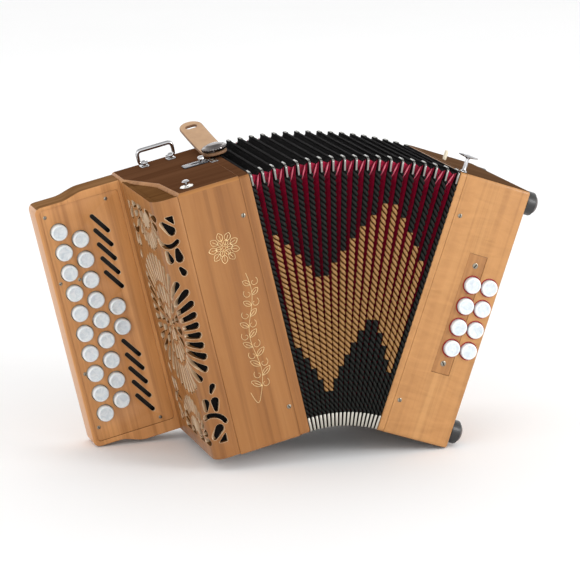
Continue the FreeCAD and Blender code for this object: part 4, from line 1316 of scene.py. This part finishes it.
def strip(shape, crest, path, wide, thick, paint):
    """A flat rounded strip bent along a path beside a crest."""
    loops = []
    last = len(path) - 1
    for k, spot in enumerate(path):
        ahead = (path[min(k + 1, last)] - path[max(k - 1, 0)]).normalized()
        out = Vector((0, -ahead.z, ahead.y))
        size = 0.6 if k in (0, last) else 1
        loops.append([crest_point(crest, size * wide * math.cos(a),
                                  *(spot + out * size * thick * math.sin(a)).yz) for a in turns(12)])
    shape.loft(loops, paint)


def caps_mesh(crest):
    """The metal caps on a crest's four corners: slim hooks above, flat strips below."""
    shape = Shape()
    high, low = BELLOWS_HIGH + 0.2, BELLOWS_LOW + 0.9
    for y, inward in ((BELLOWS_FRONT, 1), (BELLOWS_BACK, -1)):
        face = y - inward * 0.9
        hook = [(face, high - 12), (face, high - 2), (face + inward * 4, high), (y + inward * 11, high)]
        foot = [(face, 14.0), (face, low), (y + inward * 8, low)]
        # The hooks take the dark hook metal: a painted dark reflection.
        for corners, radius, wide, thick, paint in ((hook, 2.5, 1.1, 0.9, "hook_dark_reflection"),
                                                    (foot, 1.2, 1.2, 0.8, "tin")):
            path = wire_corner([(0, a, b) for a, b in corners], radius, 5)
            path.insert(1, path[0].lerp(path[1], 0.06))
            path.insert(-1, path[-1].lerp(path[-2], 0.08))
            strip(shape, crest, path, wide, thick, paint)
    return shape


def blended(thing):
    """Bakes a piece's place into its mesh; the piece is not tied to any body."""
    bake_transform(thing)


def follow_crest(thing, crest, side=0):
    """A crest at a section's end rides on that section's body, as do the outer half braids of the two end
    crests; any other crest piece only has its place baked into its mesh.
    """
    span, part = divmod(crest, FOLDS_PER_SECTION)
    if part == 0 and side < 0:
        span, part = span - 1, FOLDS_PER_SECTION
    if part == 0 and side == 0 or not 0 <= span < len(CHAIN) - 1:
        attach(thing, CHAIN[max(span, 0)])
        return
    place = crest_frame(crest)
    blended(thing)


def follow_leaf(thing, crest):
    """A leaf only has its place baked into its mesh; the two crest points worked out here are not used.
    """
    first, last = (crest_point(k, 0, BELLOWS_FRONT, BELLOWS_HIGH) * MM for k in (crest, crest + 1))
    blended(thing)


def fold(name, shape, follow, crest, slot, *more):
    """Makes one piece of the bellows, smooth, and hands it to its follow function."""
    thing = link(name, shape.mesh(name), Matrix())
    smooth(thing.data, 50)
    follow(thing, crest, *more)
    return thing


def bellows():
    for crest in range(FOLDS + 1):
        thing = fold("bellows_crest_%02d" % crest, crest_mesh(crest), follow_crest, crest,
                     "bellows_cloth")
        if crest % FOLDS_PER_SECTION == 0 and 0 < crest < FOLDS:
            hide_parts("bellows_section_%d" % (crest // FOLDS_PER_SECTION))
        fold("bellows_corner_caps_%02d" % crest, caps_mesh(crest), follow_crest, crest, "chrome")
    for crest in range(FOLDS + 1):
        for side, word in ((-1, "left"), (1, "right")):
            fold("bellows_braid_%02d_%s" % (crest, word), braid_mesh(crest, side), follow_crest, crest,
                 "bellows_cloth", side)
    for crest in range(FOLDS):
        fold("bellows_leaf_%02d" % (crest + 1), leaf_mesh(crest), follow_leaf, crest, "bellows_cloth")


def inner_parts():
    """Paints the inner parts, which keep their CAD shapes."""
    for node, paint in (("treble_soundboard", "inner"), ("pallets_and_levers", "aluminium"),
                        ("treble_reed_blocks", "inner"), ("button_guide", "dark_board"),
                        ("bass_reed_pan", "inner")):
        data = frame["nodes"][node].data
        data.materials.clear()
        data.materials.append(MATERIALS[paint])


place_camera()
studio()
treble_casing()
bellows_frame("treble_end_frame", -TREBLE_FRAME + 0.25, 0, "treble", "treble_bellows_frame",
              (0.3, 1.2), "case")
grille()
keyboard_body()
keyboard_plate()
for number, place in enumerate(treble_button_places(), start=1):
    button("treble_pearl_%02d" % number, place, KEY_FRONT, 11, "treble", "treble_button_%02d" % number)
treble_screws()
ornament()
register_fittings()
bail()
snap()
closing_strap()
rosette()
bass_casing()
bellows_frame("bass_end_frame", 0, BASS_FRAME - 0.25, "bass", "bass_bellows_frame", (1.2, 0.3), "bass")
bass_plate()
for number, place in enumerate(bass_button_places(), start=1):
    button("bass_pearl_%d" % number, place, 0, 10, "bass", "bass_button_%d" % number)
bass_screws()
bass_feet()
hand_strap()
air_button()
bass_studs()
bellows()
inner_parts()
